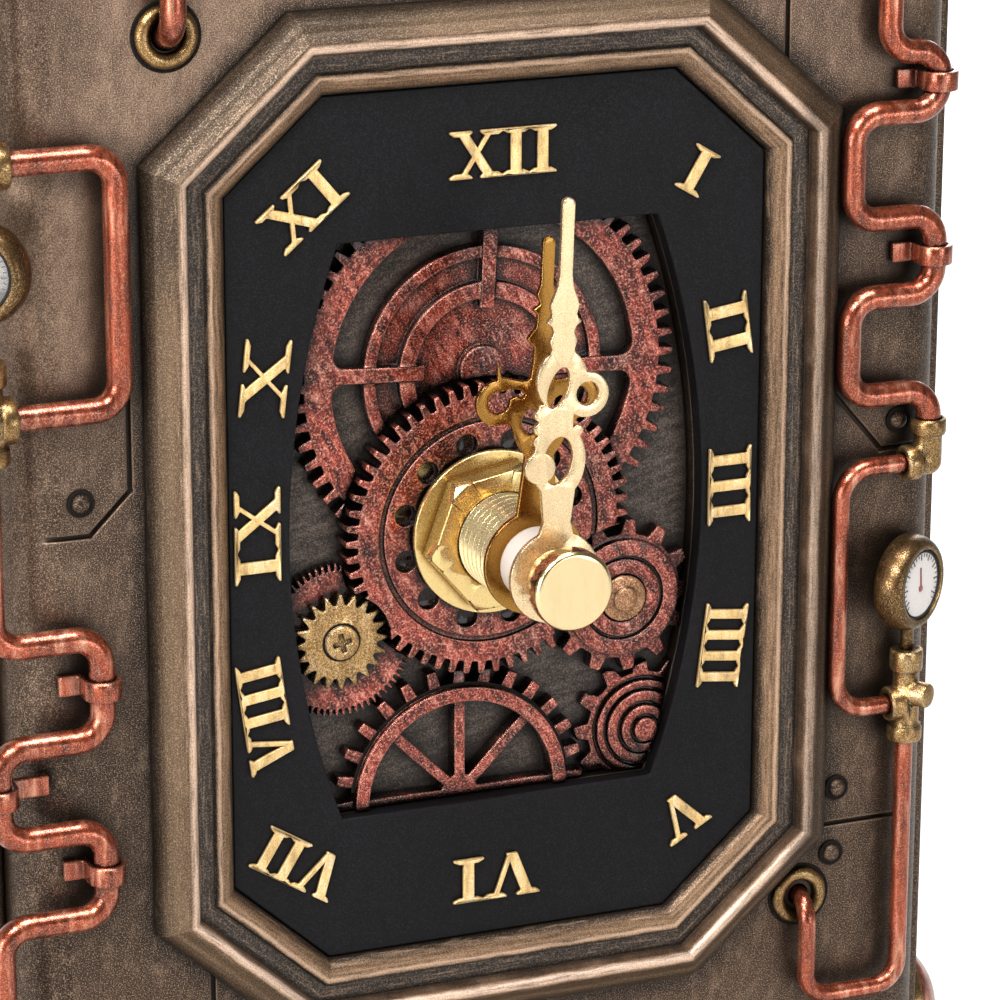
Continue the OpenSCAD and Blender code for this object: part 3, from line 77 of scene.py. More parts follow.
# %% Camera at the photograph's viewing angle
CAMERA_FROM_DIAL = Vector((-148.5, -359.4, 122.2)) * MM
CAMERA_YAW = math.radians(22.454)
CAMERA_DIP = math.radians(17.197)
CAMERA_ROLL = math.radians(0.15)
SENSOR_WIDTH = 36
FOCAL_LENGTH = 155.4
NEAREST_SEEN = 0.01
camera_data = bpy.data.cameras.new("photo_camera")
camera_data.sensor_width = SENSOR_WIDTH
camera_data.lens = FOCAL_LENGTH
camera_data.clip_start = NEAREST_SEEN
camera = bpy.data.objects.new("photo_camera", camera_data)
bpy.context.scene.collection.objects.link(camera)
sight = Vector((math.sin(CAMERA_YAW) * math.cos(CAMERA_DIP),
                math.cos(CAMERA_YAW) * math.cos(CAMERA_DIP), -math.sin(CAMERA_DIP)))
aim = sight.to_track_quat("-Z", "Y").to_matrix() @ Matrix.Rotation(CAMERA_ROLL, 3, "Z")
camera.matrix_world = Matrix.Translation(DIAL + CAMERA_FROM_DIAL) @ aim.to_4x4()
bpy.context.scene.camera = camera
print("camera", camera.location)

# %% [markdown]
# ## Node trees in short
# Every finish below is a small tree of shader nodes. One class keeps the calls short: it adds a
# node, links or sets its inputs, and has a few ready mixes. A wash over a casting keeps a dark
# colour in the hollows and a rubbed, paler one on the edges, and two nodes find those places on any
# shape. The dark in the hollows is also painted shade, and the pale edges are also a painted
# highlight. Ambient Occlusion is low in a hollow, and the Bevel node's normal leans away from the
# face's own normal beside an edge.

# %% Small helpers for node trees
FLAT_LEAN, EDGE_LEAN = 0.995, 0.82
OPEN_SKY = 0.92
MIX_SHARE, MIX_A, MIX_B, MIX_RESULT = 0, 6, 7, 2  # a Mix node's sockets for colours


def colour(code):
    """A hex colour as linear RGBA."""
    parts = [int(code[i:i + 2], 16) / 255 for i in (1, 3, 5)]
    linear = [p / 12.92 if p <= 0.04045 else ((p + 0.055) / 1.055) ** 2.4 for p in parts]
    return (*linear, 1)


class Tree:
    """The node tree of a material or a world, with short calls to add, link and mix."""

    def __init__(self, owner, shader="Principled BSDF", **sockets):
        owner.use_nodes = True
        self.owner = owner
        self.tree = owner.node_tree
        self.shader = self.tree.nodes[shader]
        for socket, value in sockets.items():
            self.shader.inputs[socket.replace("_", " ")].default_value = value
        self.coords = self.add("TexCoord").outputs["Object"]

    def add(self, kind, inputs=(), **settings):
        """A new shader node with its settings, whose inputs are set or linked."""
        made = self.tree.nodes.new("ShaderNode" + kind)
        for key, value in settings.items():
            setattr(made, key, value)
        for key, value in dict(inputs).items():
            if isinstance(value, bpy.types.NodeSocket):
                self.tree.links.new(value, made.inputs[key])
            else:
                made.inputs[key].default_value = value
        return made

    def xyz(self):
        """The Object coordinates one by one."""
        return self.add("SeparateXYZ", {0: self.coords}).outputs

    def noise(self, scale, detail=4, stretch=(1, 1, 1), turn=0.0, rough=0.55):
        """Noise whose features are stretched along the axes, turned about the dial's normal."""
        where = self.add("Mapping", {"Vector": self.coords, "Scale": stretch,
                                     "Rotation": (0, math.radians(turn), 0)},
                         vector_type="TEXTURE").outputs[0]
        return self.add("TexNoise", {"Vector": where, "Scale": scale, "Detail": detail,
                                     "Roughness": rough}).outputs[0]

    def span(self, value, low, high, to_low=0.0, to_high=1.0):
        """A value between low and high, carried over to another span and held at its ends."""
        return self.add("MapRange", {"Value": value, "From Min": low, "From Max": high,
                                     "To Min": to_low, "To Max": to_high}).outputs[0]

    def calc(self, operation, a, b=0.0):
        return self.add("Math", {0: a, 1: b}, operation=operation).outputs[0]

    def times(self, a, b):
        return self.calc("MULTIPLY", a, b)

    def plus(self, a, b):
        return self.calc("ADD", a, b)

    def minus(self, a, b):
        return self.calc("SUBTRACT", a, b)

    def larger(self, a, b):
        return self.calc("MAXIMUM", a, b)

    def mix(self, share, a, b):
        """Colour a with a share of colour b."""
        return self.add("Mix", {MIX_SHARE: share, MIX_A: a, MIX_B: b},
                        data_type="RGBA").outputs[MIX_RESULT]

    def edge(self, radius):
        """1 beside an edge and 0 on open faces, and the softened normal."""
        soft = self.add("Bevel", {"Radius": radius}, samples=4).outputs[0]
        face = self.add("NewGeometry").outputs["Normal"]
        lean = self.add("VectorMath", {0: soft, 1: face}, operation="DOT_PRODUCT")
        return self.span(lean.outputs["Value"], FLAT_LEAN, EDGE_LEAN), soft

    def hollow(self, reach, full):
        """1 in a hollow, which sees no more than the full share of the sky, and 0 in the open."""
        occluded = self.add("AmbientOcclusion", {"Distance": reach}, samples=8)
        return self.span(occluded.outputs["AO"], OPEN_SKY, full)

    def bump(self, height, depth, normal):
        return self.add("Bump", {"Height": height, "Distance": depth, "Normal": normal}).outputs[0]

    def wire(self, **sockets):
        """Links values to the shader's sockets, and gives back what the tree belongs to."""
        for socket, value in sockets.items():
            self.tree.links.new(value, self.shader.inputs[socket.replace("_", " ")])
        return self.owner


def paint(name, **sockets):
    """A new material's tree."""
    return Tree(bpy.data.materials.new(name), **sockets)


print("mid grey in linear light", round(colour("#808080")[0], 3))

# %% [markdown]
# ## Studio
# The clock stands on white and is lit by soft boxes from the front. Metal mirrors the whole room, so
# the room is dim in front of the clock and pale behind it: flat faces stay deep, and edges that turn
# away get a bright rim. The camera sees white everywhere, through Light Path, and so do metal and
# glass where they mirror the floor behind the clock. The floor keeps the shadow.

# %% The room
scene = bpy.context.scene
scene.view_settings.view_transform = "Standard"
WHITE = (1, 1, 1, 1)
ROOM_FRONT = (0.11, 0.108, 0.105, 1)
ROOM_BEHIND = (0.72, 0.73, 0.75, 1)
BACKDROP = (0.3, 0.9)
room = Tree(bpy.data.worlds.new("room"), "Background")
toward = room.add("SeparateXYZ", {0: room.add("TexCoord").outputs["Generated"]}).outputs["Y"]
surround = room.mix(room.span(toward, *BACKDROP), ROOM_FRONT, ROOM_BEHIND)
room.wire(Color=room.mix(room.add("LightPath").outputs["Is Camera Ray"], surround, WHITE))
scene.world = room.owner
print("room", scene.world.name)


# %% Lamps, each with its place, size, watts and tint
def soft_lamp(name, place, size, watts, tint):
    """A square area lamp that points at the dial."""
    data = bpy.data.lights.new(name, "AREA")
    data.size = size
    data.energy = watts
    data.color = tint
    lamp = bpy.data.objects.new(name, data)
    lamp.location = place
    lamp.rotation_euler = (DIAL - lamp.location).to_track_quat("-Z", "Y").to_euler()
    scene.collection.objects.link(lamp)


LAMPS = {"key": ((-0.24, -0.30, 0.42), 0.16, 2.4, (1, 0.97, 0.93)),
         "left": ((-0.52, -0.34, 0.16), 0.26, 1.8, (1, 0.98, 0.95)),
         "fill": ((0.28, -0.64, 0.08), 0.3, 1.0, (1, 1, 1)),
         "top": ((0.02, -0.22, 0.68), 0.3, 3.6, (1, 1, 1)),
         "behind": ((0.35, 0.75, 0.45), 0.6, 4.5, (1, 1, 1))}
for name, settings in LAMPS.items():
    soft_lamp(name, *settings)
print("lamps", len(bpy.data.lights))

# %% The white floor
FLOOR_HALF = 6
FLOOR_GLOW = 0.6
FLOOR_MIRRORED = (0.0, 0.5)
FLOOR_CLOUD = 3
floor_mesh = bpy.data.meshes.new("floor")
floor_form = bmesh.new()
bmesh.ops.create_grid(floor_form, x_segments=1, y_segments=1, size=FLOOR_HALF)
floor_form.to_mesh(floor_mesh)
floor_form.free()
floor = bpy.data.objects.new("floor", floor_mesh)
scene.collection.objects.link(floor)
pale = paint("studio_floor", Roughness=0.8, Emission_Color=WHITE)
ray = pale.add("LightPath").outputs
in_metal_or_glass = pale.larger(ray["Is Glossy Ray"], ray["Is Transmission Ray"])
mirrored = pale.times(in_metal_or_glass, pale.span(pale.xyz()["Y"], *FLOOR_MIRRORED))
seen = pale.larger(ray["Is Camera Ray"], mirrored)
cloudy = pale.span(pale.noise(FLOOR_CLOUD), 0.3, 0.7, 0.0, 0.3)
pale.wire(Base_Color=pale.mix(cloudy, colour("#d2d1cf"), colour("#c8c6c3")),
          Emission_Strength=pale.times(seen, FLOOR_GLOW))
floor.data.materials.append(pale.owner)
print("floor", floor.name)

# %% [markdown]
# ## A washed metal
# Nearly every surface is a casting with a wash: a body colour, a dark one that stays in the hollows
# and pits, and a rubbed one on edges and high grain. The dark in the hollows is also painted shade,
# and the pale on the edges is also a painted highlight. One function makes them all, from three
# noises: cloudy patches, streaks left by the brush, and flecks as fine as the metal powder in the
# paint, bright where the noise peaks and dark where it dips. Noise gathers round 0.5, so each pair
# below says between which values an effect sets in. The plain metal and plastics inside the movement
# come first, because the wash hardly shows on them.

# %% Washed metal, and the plain finishes of the movement
CLOUDS = (0.42, 0.66)
DARK_STROKES, LIGHT_STROKES = (0.52, 0.34), (0.53, 0.7)
PITS, FLECKS = (0.5, 0.38), (0.54, 0.65)
RUB_AND_HIGHLIGHT_PATCHES, LEAST_RUB_AND_HIGHLIGHT = (0.35, 0.6), 0.45
GRAIN, DULLER, GLOSSIER = (0.35, 0.65), 0.12, 0.06
finish = {}


def washed(name, body, deep, worn_and_lit, shine, rough, fleck=8000, flecky=0.5, pitty=0.6, streak=900,
           stretch=(1, 1, 4), turn=0.0, streaky=0.5, gleam=0.0, patch=60, patchy=0.35, rub_and_highlight=0.7,
           edge=0.4, reach=2.0, wash_and_shade=0.75, full=0.48, depth=0.02, coat=0.0, gloss=0.5):
    """A finish whose body is a colour, or a function that draws one in the finish's tree.

    Edge, reach and depth are in millimetres, and fleck, streak and patch are scales of noise.
    """
    tree = paint(name, Metallic=shine, Coat_Weight=coat, Coat_Roughness=0.1, Specular_IOR_Level=gloss)
    patches = tree.noise(patch)
    strokes = tree.noise(streak, stretch=stretch, turn=turn, rough=0.65)
    flecks = tree.noise(fleck, detail=1, rough=0.7)
    edges, soft = tree.edge(edge * MM)
    # pale edges: wear, and a painted highlight along every edge
    rubbed_and_lit = tree.times(edges, tree.span(patches, *RUB_AND_HIGHLIGHT_PATCHES, rub_and_highlight, LEAST_RUB_AND_HIGHLIGHT * rub_and_highlight))
    ground = body(tree) if callable(body) else colour(body)
    for share, tint in ((tree.span(patches, *CLOUDS, 0.0, patchy), deep),
                        (tree.span(strokes, *DARK_STROKES, 0.0, streaky), deep),
                        (tree.span(strokes, *LIGHT_STROKES, 0.0, gleam), worn_and_lit),
                        (tree.span(flecks, *PITS, 0.0, pitty), deep),
                        (tree.span(flecks, *FLECKS, 0.0, flecky), worn_and_lit),
                        # the last two: pale edges of wear and painted highlight, and dark hollows of wash and
                        # painted shade
                        (rubbed_and_lit, worn_and_lit),
                        (tree.times(tree.hollow(reach * MM, full), wash_and_shade), deep)):
        ground = tree.mix(share, ground, colour(tint))
    finish[name] = tree.wire(
        Base_Color=ground, Roughness=tree.span(flecks, *GRAIN, rough + DULLER, rough - GLOSSIER),
        Normal=tree.bump(tree.plus(flecks, strokes), depth * MM, soft))


SMOOTH = dict(flecky=0.08, pitty=0.08, streaky=0.1, patchy=0.15, depth=0.0004)
washed("steel", "#b6b9be", "#6f7378", "#e4e6e8", 1.0, 0.26, **SMOOTH)
washed("coil_copper", "#b9622c", "#7a3a14", "#e79a5c", 0.9, 0.3)
washed("battery_can", "#34373c", "#1f2124", "#5a5f66", 0.4, 0.33, **SMOOTH)
washed("green_board", "#23613d", "#163f27", "#3c8457", 0.0, 0.4, flecky=0.3)
washed("white_plastic", "#d6cfc9", "#b5aea6", "#e8e3dd", 0.0, 0.35, wash_and_shade=0.4, **SMOOTH)
washed("black_plastic", "#242428", "#141416", "#3c3c42", 0.0, 0.42, flecky=0.2)
washed("rubber_black", "#1a1a1a", "#0e0e0e", "#2c2c2c", 0.0, 0.7, flecky=0.2)
washed("felt_green", "#1d3a26", "#0f2015", "#35603f", 0.0, 0.9, fleck=2600, flecky=0.7, pitty=0.9,
       depth=0.2, gloss=0.1)
print("plain finishes", list(finish))

# %% [markdown]
# ## The bezel's bands
# On the real bezel the wash follows the moulding: tan on the inner roll and the outer slope, almost
# black in the groove, and rubbed bright along the ridge. The bright ridge is also a painted highlight,
# and the darkest lines, at the dial's edge, on both sides of the groove and at the foot, are wash and
# painted shade in the creases. The slope is painted darker at the upper left, and the ridge darker on
# the right side: both are painted shade. The bands run parallel to the dial's eight sides, so the
# shader works out how far a point lies outside the dial's outline, from its Object coordinates
# alone, and looks the colour up by that distance. The same distance, drawn fine, with the place
# along the side, drawn coarse, gives noise whose streaks run along the moulding. The plain outer
# slope takes a quarter of them.

# %% Distance from the dial's outline
CORNER_CUT = Vector((9.5, 8.6)) * MM
dial_half = ((dial_high.x - dial_low.x) / 2, (dial_high.z - dial_low.z) / 2)
cut_normal = Vector((CORNER_CUT.y, CORNER_CUT.x)).normalized()
cut_reach = cut_normal.x * dial_half[0] + cut_normal.y * (dial_half[1] - CORNER_CUT.y)
WANDER = (0.3, 0.7)


def outside_dial(tree, scale, swing):
    """How far a point lies outside the dial's eight sides, in millimetres, give or take a swing."""
    at = tree.xyz()
    across = tree.calc("ABSOLUTE", at["X"])
    up = tree.calc("ABSOLUTE", tree.minus(at["Z"], DIAL.z))
    side = tree.minus(across, dial_half[0])
    end = tree.minus(up, dial_half[1])
    slant = tree.plus(tree.times(across, cut_normal.x), tree.times(up, cut_normal.y))
    corner = tree.minus(slant, cut_reach)
    away = tree.times(tree.larger(tree.larger(side, end), corner), 1 / MM)
    return tree.plus(away, tree.span(tree.noise(scale, detail=3), *WANDER, -swing, swing))


print("half the dial in mm", [round(half / MM, 2) for half in dial_half])

# %% Bands of the bezel, by millimetres outside the dial
# the near-black stops at 0, 2.15, 4.05 and 7.85 mm are wash and painted shade in creases, and the pale ridge stops
# are partly a painted highlight
BEZEL_BANDS = ((0.0, "#0f0a07"), (0.3, "#33251a"), (0.7, "#755b44"), (1.2, "#8f7055"),
               (1.5, "#7a5f48"), (1.75, "#c8a78d"), (1.95, "#a98a70"), (2.15, "#17110d"),
               (2.45, "#3a3532"), (3.6, "#433d3a"), (4.05, "#0f0a08"), (4.3, "#8d6f58"),
               (4.5, "#f0d4bf"), (4.95, "#dcbba2"), (5.3, "#66503c"), (6.4, "#6d5843"),
               (7.2, "#503f2e"), (7.85, "#17110c"))
STREAKS_ACROSS, STREAKS_ALONG = 4.5, 240.0  # per millimetre outwards, per metre along a side
STREAK_DARK, STREAK_LIGHT = (0.5, 0.3, 0.0, 0.7), (0.54, 0.72, 0.0, 0.45)
PLAIN_SLOPE = (5.3, 6.0, 1.0, 0.25)
# painted shade: the slope is darkened at the upper left and the ridge on the right side
UPPER_LEFT, SLOPE_FROM, SLOPE_SHADE = (DIAL.z + 55 * MM, DIAL.z + 63 * MM), (5.0, 5.5), 0.75
RIGHT_SIDE, RIDGE_FROM, RIDGE_SHADE = (28.5 * MM, 30.5 * MM), (4.1, 4.5), 0.62


def bezel_bands(tree):
    """The bezel's colour by distance from the dial: bands with painted shade and highlight, and streaks."""
    away = outside_dial(tree, scale=300, swing=0.07)
    widest = BEZEL_BANDS[-1][0]
    ramp = tree.add("ValToRGB", {"Fac": tree.times(away, 1 / widest)})
    stops = ramp.color_ramp.elements
    for place, code in BEZEL_BANDS[1:-1]:
        stops.new(place / widest)
    for stop, (place, code) in zip(stops, BEZEL_BANDS):
        stop.position = place / widest
        stop.color = colour(code)
    at = tree.xyz()
    along = tree.add("CombineXYZ", {"X": tree.times(away, STREAKS_ACROSS),
                                    "Y": tree.times(at["X"], STREAKS_ALONG),
                                    "Z": tree.times(at["Z"], STREAKS_ALONG)}).outputs[0]
    streaks = tree.add("TexNoise", {"Vector": along, "Scale": 1.0, "Detail": 4,
                                    "Roughness": 0.62}).outputs[0]
    carved = tree.span(away, *PLAIN_SLOPE)
    dark = tree.times(tree.span(streaks, *STREAK_DARK), carved)
    light = tree.times(tree.span(streaks, *STREAK_LIGHT), carved)
    upper_left = tree.span(tree.minus(at["Z"], at["X"]), *UPPER_LEFT)
    slope_shade = tree.times(tree.times(upper_left, tree.span(away, *SLOPE_FROM)), SLOPE_SHADE)
    right_side = tree.span(at["X"], *RIGHT_SIDE)
    # the ridge's share of painted shade on the right side
    ridge = tree.times(tree.times(right_side, tree.span(away, *RIDGE_FROM)), RIDGE_SHADE)
    # the dark colour here is the painted shade of the slope and the ridge
    ground = tree.mix(tree.larger(slope_shade, ridge), ramp.outputs["Color"], colour("#2a2016"))
    return tree.mix(light, tree.mix(dark, ground, colour("#1a120d")), colour("#c9a88c"))


washed("bezel_bronze", bezel_bands, "#1c140e", "#dcc0a3", 0.6, 0.46, flecky=0.18, pitty=0.35,
       streaky=0.0, patchy=0.2, rub_and_highlight=0.15, edge=0.2, reach=0.9, wash_and_shade=0.85, depth=0.008)
print("bezel bands", len(BEZEL_BANDS))

# %% [markdown]
# ## Bronze of the case
# The case is one casting under the same wash. Its front is painted palest at the upper left and
# darker towards the lower right: painted light, as if lit from the upper left. Along the bezel's
# foot it is almost black, partly wash and partly painted shade in the crease. Vertex colours could
# hold such a slow change, but the flat front has hardly any vertices, so the shader works it out from
# the place of each point.

# %% Case and side panels
# the first two colours paint light on the front: darker low and to the right, paler at the upper left
CASE_SHADED, CASE_LIT, FOOT_WASH_AND_SHADE = "#4a392c", "#937966", "#120d0a"
LIGHT_RISE, LIGHT_LEAN = 65 * MM, 0.45
FOOT_SHADE = (8.2, 10.2)


def case_shade(tree):
    """The case's bronze under painted light, paler at the upper left, and almost black along the bezel's foot from
    wash and painted shade.
    """
    away = outside_dial(tree, scale=160, swing=0.5)
    at = tree.xyz()
    toward_light = tree.minus(at["Z"], tree.times(at["X"], LIGHT_LEAN))
    lit_bronze = tree.mix(tree.span(toward_light, DIAL.z, DIAL.z + LIGHT_RISE), colour(CASE_SHADED), colour(CASE_LIT))
    # painted shade, partly wash: a near-black strip in the crease along the bezel's foot
    return tree.mix(tree.span(away, *FOOT_SHADE), colour(FOOT_WASH_AND_SHADE), lit_bronze)


# painted shade, partly wash: the long hollow reach darkens the case beside the pipes and the bezel
washed("case_bronze", case_shade, "#170f09", "#d2b297", 0.6, 0.36, flecky=0.42, pitty=0.5,
       stretch=(1, 1, 2), turn=12, streaky=0.35, gleam=0.15, patch=40, patchy=0.6, reach=3.6, wash_and_shade=0.94)
washed("panel_bronze", "#584536", "#170f09", "#bfa288", 0.6, 0.36, flecky=0.5, pitty=0.7,
       stretch=(1, 1, 2), streaky=0.3, patch=40, patchy=0.6, reach=2.2, rub_and_highlight=0.9)
# a near-black for rings and lines that are partly wash and partly painted shade
washed("shade_and_wash_black", "#0d0a08", "#050403", "#3a2f27", 0.0, 0.6, rub_and_highlight=0.6, edge=0.12, gloss=0.15)
print("case finishes", list(finish)[-3:])

# %% [markdown]
# ## Copper and the relief
# The pipes are red copper under a thin lacquer, with streaks along their length. The relief behind
# the window is the same paint on a rough casting: its hollows are nearly black and its edges are
# rubbed to bare copper, which is what lets one read the wheels. Both are partly painted light: the
# black is also painted shade, and the bright edges are also painted highlights. The darkening is set
# to reach its full depth early, so that a dark line of wash and painted shade runs beside every step.

# %% Pipes, relief wheels and the floor behind them
# painted shade, partly wash: the hollow pass darkens the pipes' flanks that face the case
washed("copper", "#b04d2d", "#330d05", "#ffc6a6", 0.8, 0.2, flecky=0.3, pitty=0.3, streak=1100,
       stretch=(1, 1, 6), streaky=0.75, gleam=0.5, patch=120, patchy=0.4, reach=2.2, wash_and_shade=0.95,
       depth=0.006, coat=0.6)
# painted light, partly real: pale rubbed edges stand for highlights, and early full darkness paints shade beside
# every step
washed("relief_copper", "#9d4133", "#0c0403", "#ffb7a2", 0.75, 0.24, fleck=5200, flecky=0.35,
       pitty=0.5, streak=1500, stretch=(1, 1, 3), turn=-28, streaky=0.95, gleam=0.4, patch=220,
       patchy=0.8, rub_and_highlight=1.0, edge=0.3, reach=3.0, wash_and_shade=0.98, full=0.64, depth=0.07, coat=0.4)
washed("relief_floor", "#463b34", "#0f0b09", "#8d7e73", 0.3, 0.42, streak=1500, stretch=(5, 1, 1),
       turn=-12, streaky=0.8, gleam=0.3, flecky=0.4, pitty=0.6, patch=300, wash_and_shade=0.8, depth=0.03)
print("relief finishes", list(finish)[-3:])

# %% [markdown]
# ## Brass
# The fittings, the pinion and the gauges are antique brass with a dark wash. The stem's hardware
# and the hands come with the movement: polished nut and washer, a bright thread, a satin minute
# hand, an hour hand below it and a cap like a mirror. The hour hand is the same brass painted a
# darker gold: painted shade under the minute hand. Polished brass is mostly what it reflects, so
# these have next to no grain and differ in colour and roughness.

# %% Antique and polished brass
washed("antique_brass", "#b18a56", "#261807", "#f8e2b8", 0.9, 0.25, streak=600, patch=160, gleam=0.3,
       flecky=0.35, pitty=0.5, reach=1.8, wash_and_shade=0.93, depth=0.01)
washed("hub_brass", "#b5825a", "#2a1409", "#f4cfae", 0.8, 0.3, streak=600, patch=160, gleam=0.3,
       flecky=0.4, pitty=0.5, reach=1.2, wash_and_shade=0.93)
# partly a painted highlight: the strongly rubbed edges give the gauge rims their bright front edge
washed("gauge_brass", "#6a4e2f", "#150d06", "#f0cf98", 0.85, 0.26, patch=200, flecky=0.3, pitty=0.5,
       edge=0.5, rub_and_highlight=0.9, depth=0.01)
washed("bright_brass", "#eed190", "#7a5412", "#fff0c8", 0.92, 0.17, rub_and_highlight=0.5, edge=0.1, reach=0.8,
       wash_and_shade=0.85, **SMOOTH)
washed("thread_brass", "#fdeab8", "#6a4510", "#fff3d8", 0.8, 0.16, rub_and_highlight=0.4, edge=0.06, reach=0.5,
       wash_and_shade=0.9, **SMOOTH)
washed("cap_brass", "#f8e0ae", "#8a5d14", "#fff3d8", 1.0, 0.14, rub_and_highlight=0.3, edge=0.08, reach=0.8,
       wash_and_shade=0.7, **SMOOTH)
washed("satin_brass", "#edd3a8", "#8a5d14", "#fff3d8", 0.9, 0.24, streak=2600, stretch=(1, 1, 12),
       rub_and_highlight=0.3, edge=0.08, reach=0.8, wash_and_shade=0.7, **SMOOTH)
# painted shade: the hour hand's brass, painted darker where the minute hand shades it
washed("shaded_brass", "#a67a3a", "#70450a", "#ffe6b8", 1.0, 0.22, streak=2600, stretch=(1, 1, 12),
       rub_and_highlight=0.4, edge=0.08, reach=1.6, wash_and_shade=0.8, **SMOOTH)
print("brasses", [name for name in finish if name.endswith("brass")])

# %% [markdown]
# ## Dial, numerals and gauges
# The dial is satin black with worn edges, and its raised numerals are painted gold and rubbed. The
# gauges have paper dials under glass. The glass is thin and clear, so a low alpha lets the print
# show and the shader's own gloss gives the reflection on the dome.

# %% Paint, paper and glass
washed("dial_black", "#0f0e11", "#080808", "#2c292e", 0.0, 0.42, flecky=0.35, pitty=0.3, depth=0.008,
       edge=0.2, rub_and_highlight=0.3, gloss=0.14)
washed("numeral_gold", "#efc680", "#2a1805", "#fff6dc", 0.55, 0.3, edge=0.15, streak=1200, patch=300,
       patchy=0.25, streaky=0.4, gleam=0.4, flecky=0.3, pitty=0.3, reach=0.6, wash_and_shade=0.9, depth=0.015)
washed("gauge_paper", "#f2ecea", "#d6cec8", "#fbf9f8", 0.0, 0.6, reach=0.3, wash_and_shade=0.15, **SMOOTH)
washed("needle_red", "#b3161f", "#7a0f14", "#d94048", 0.0, 0.4, **SMOOTH)
washed("print_grey", "#5d5753", "#3d3835", "#807a75", 0.0, 0.6, **SMOOTH)
glass = paint("gauge_glass", Roughness=0.03, IOR=1.45, Alpha=0.1)
bluish = glass.span(glass.noise(400), 0.4, 0.7, 0.0, 0.2)
finish["gauge_glass"] = glass.wire(Base_Color=glass.mix(bluish, WHITE, colour("#e4eef2")))
print("finishes", len(finish))

# %% [markdown]
# ## Finishes on the solids
# The record names a material slot for every solid, and most take the finish of that name. A few
# pieces share a slot and still look different on the real clock, so they have a look of their own.
# The hour hand's darker look is painted shade.

# %% Give every solid its finish
OWN_LOOK = {"minute_hand": "satin_brass", "hour_hand": "shaded_brass", "hand_cap": "cap_brass",
            "gauge_bodies": "gauge_brass", "relief_brass_hub": "hub_brass"}
slot_of = {part["node"]: part["material_slot"] for part in record["subparts"]}
body_of = {node: body for body, held in record["behaviour"]["bodies"].items() for node in held}
for name, solid in nodes.items():
    solid.data.materials.clear()
    solid.data.materials.append(finish[OWN_LOOK.get(name, slot_of[name])])
print("solids painted", len(slot_of))

# %% [markdown]
# ## Rounded edges
# Nothing on a casting or a stamped plate has a knife edge: a narrow round catches the light and
# draws the shape. The solids are loose triangles, so a copy is first welded. Its flat areas stay
# triangles, because a large face with a hole in it would fill the hole once its rim moves. Every
# edge sharper than a limit is then bevelled, and the copy stands for the solid. A Weighted Normal
# modifier lets the large faces set the shading, so that flats stay flat and only the rounds turn.

# %% Start and finish a piece
SMOOTH_BELOW = math.radians(32)
WELD_NEAR = 0.004 * MM


def made_piece(form, name, body, slot, *replaced, look=None):
    """Turns a bmesh into a piece that rides on a body, with one finish."""
    mesh = bpy.data.meshes.new(name)
    form.to_mesh(mesh)
    form.free()
    mesh.polygons.foreach_set("use_smooth", [True] * len(mesh.polygons))
    mesh.set_sharp_from_angle(angle=SMOOTH_BELOW)
    mesh.materials.append(finish[look or slot])
    piece = bpy.data.objects.new(name, mesh)
    scene.collection.objects.link(piece)
    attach(piece, body)
    if replaced:
        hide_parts(*replaced)
    return piece


def welded(node):
    """A node's loose triangles as one connected mesh."""
    form = bmesh.new()
    form.from_mesh(nodes[node].data)
    bmesh.ops.remove_doubles(form, verts=form.verts, dist=WELD_NEAR)
    return form


dial_form = welded("dial_plate")
print("dial points", len(nodes["dial_plate"].data.vertices), "after welding", len(dial_form.verts))
dial_form.free()

# %% Round the solids, each by its own width in millimetres
ROUND_ABOVE = math.radians(38)
EDGE_WIDTH = {
    "hour_numerals": 0.12, "dial_plate": 0.18, "relief_great_wheel": 0.14, "relief_centre_wheel": 0.14,
    "relief_fine_wheel": 0.1, "relief_brass_pinion": 0.1, "relief_spoked_wheel": 0.14,
    "relief_hub_wheel": 0.14, "relief_brass_hub": 0.15, "relief_stepped_wheel": 0.14,
    "minute_hand": 0.12, "hour_hand": 0.12, "hand_cap": 0.12, "stem_nut": 0.16, "stem_washer": 0.12,
    "left_fittings": 0.25, "right_fittings": 0.25, "pipe_clamps": 0.12, "setting_knob": 0.25,
    "movement_housing": 0.4, "movement_cover": 0.3, "rear_cover": 0.3, "side_panels": 0.5,
    "base_plinth": 0.6, "top_cornice": 0.4, "gauge_bodies": 0.1, "dome_rings": 0.25,
}


def rounded(node, width):
    """A copy of a node with its sharp edges rounded, which stands for the node."""
    form = welded(node)
    sharp = [e for e in form.edges if e.is_manifold and e.calc_face_angle(0) > ROUND_ABOVE]
    bmesh.ops.bevel(form, geom=sharp, offset=width * MM, offset_type="OFFSET", segments=2,
                    profile=0.5, affect="EDGES", material=-1)
    piece = made_piece(form, node + "_rounded", body_of[node], slot_of[node], node,
                       look=OWN_LOOK.get(node))
    level = piece.modifiers.new("flat_faces", "WEIGHTED_NORMAL")
    level.keep_sharp = True
    return len(piece.data.polygons)


for node, width in EDGE_WIDTH.items():
    print(node, "faces", rounded(node, width))

# %% [markdown]
# ## The thread of the stem
# The stem is a threaded brass tube, and its thread shows between the nut and the hour hand. A spin
# that also moves along its axis sweeps a ridge into a helix. A plain tube inside it is the core.
# The tube is the first of many turned pieces, so three helpers come with it: one makes a place
# that looks along an axis, one spins a section round it, and one welds the result and turns its
# faces outwards.

# %% Helpers for turned pieces
SPIN_NEAR = 0.002 * MM


def outward(place, direction):
    """A matrix at a place whose Z points in a direction."""
    z = Vector(direction).normalized()
    x = Vector((0, 0, 1)).cross(z).normalized()
    return Matrix.Translation(place) @ Matrix((x, z.cross(x), z)).transposed().to_4x4()


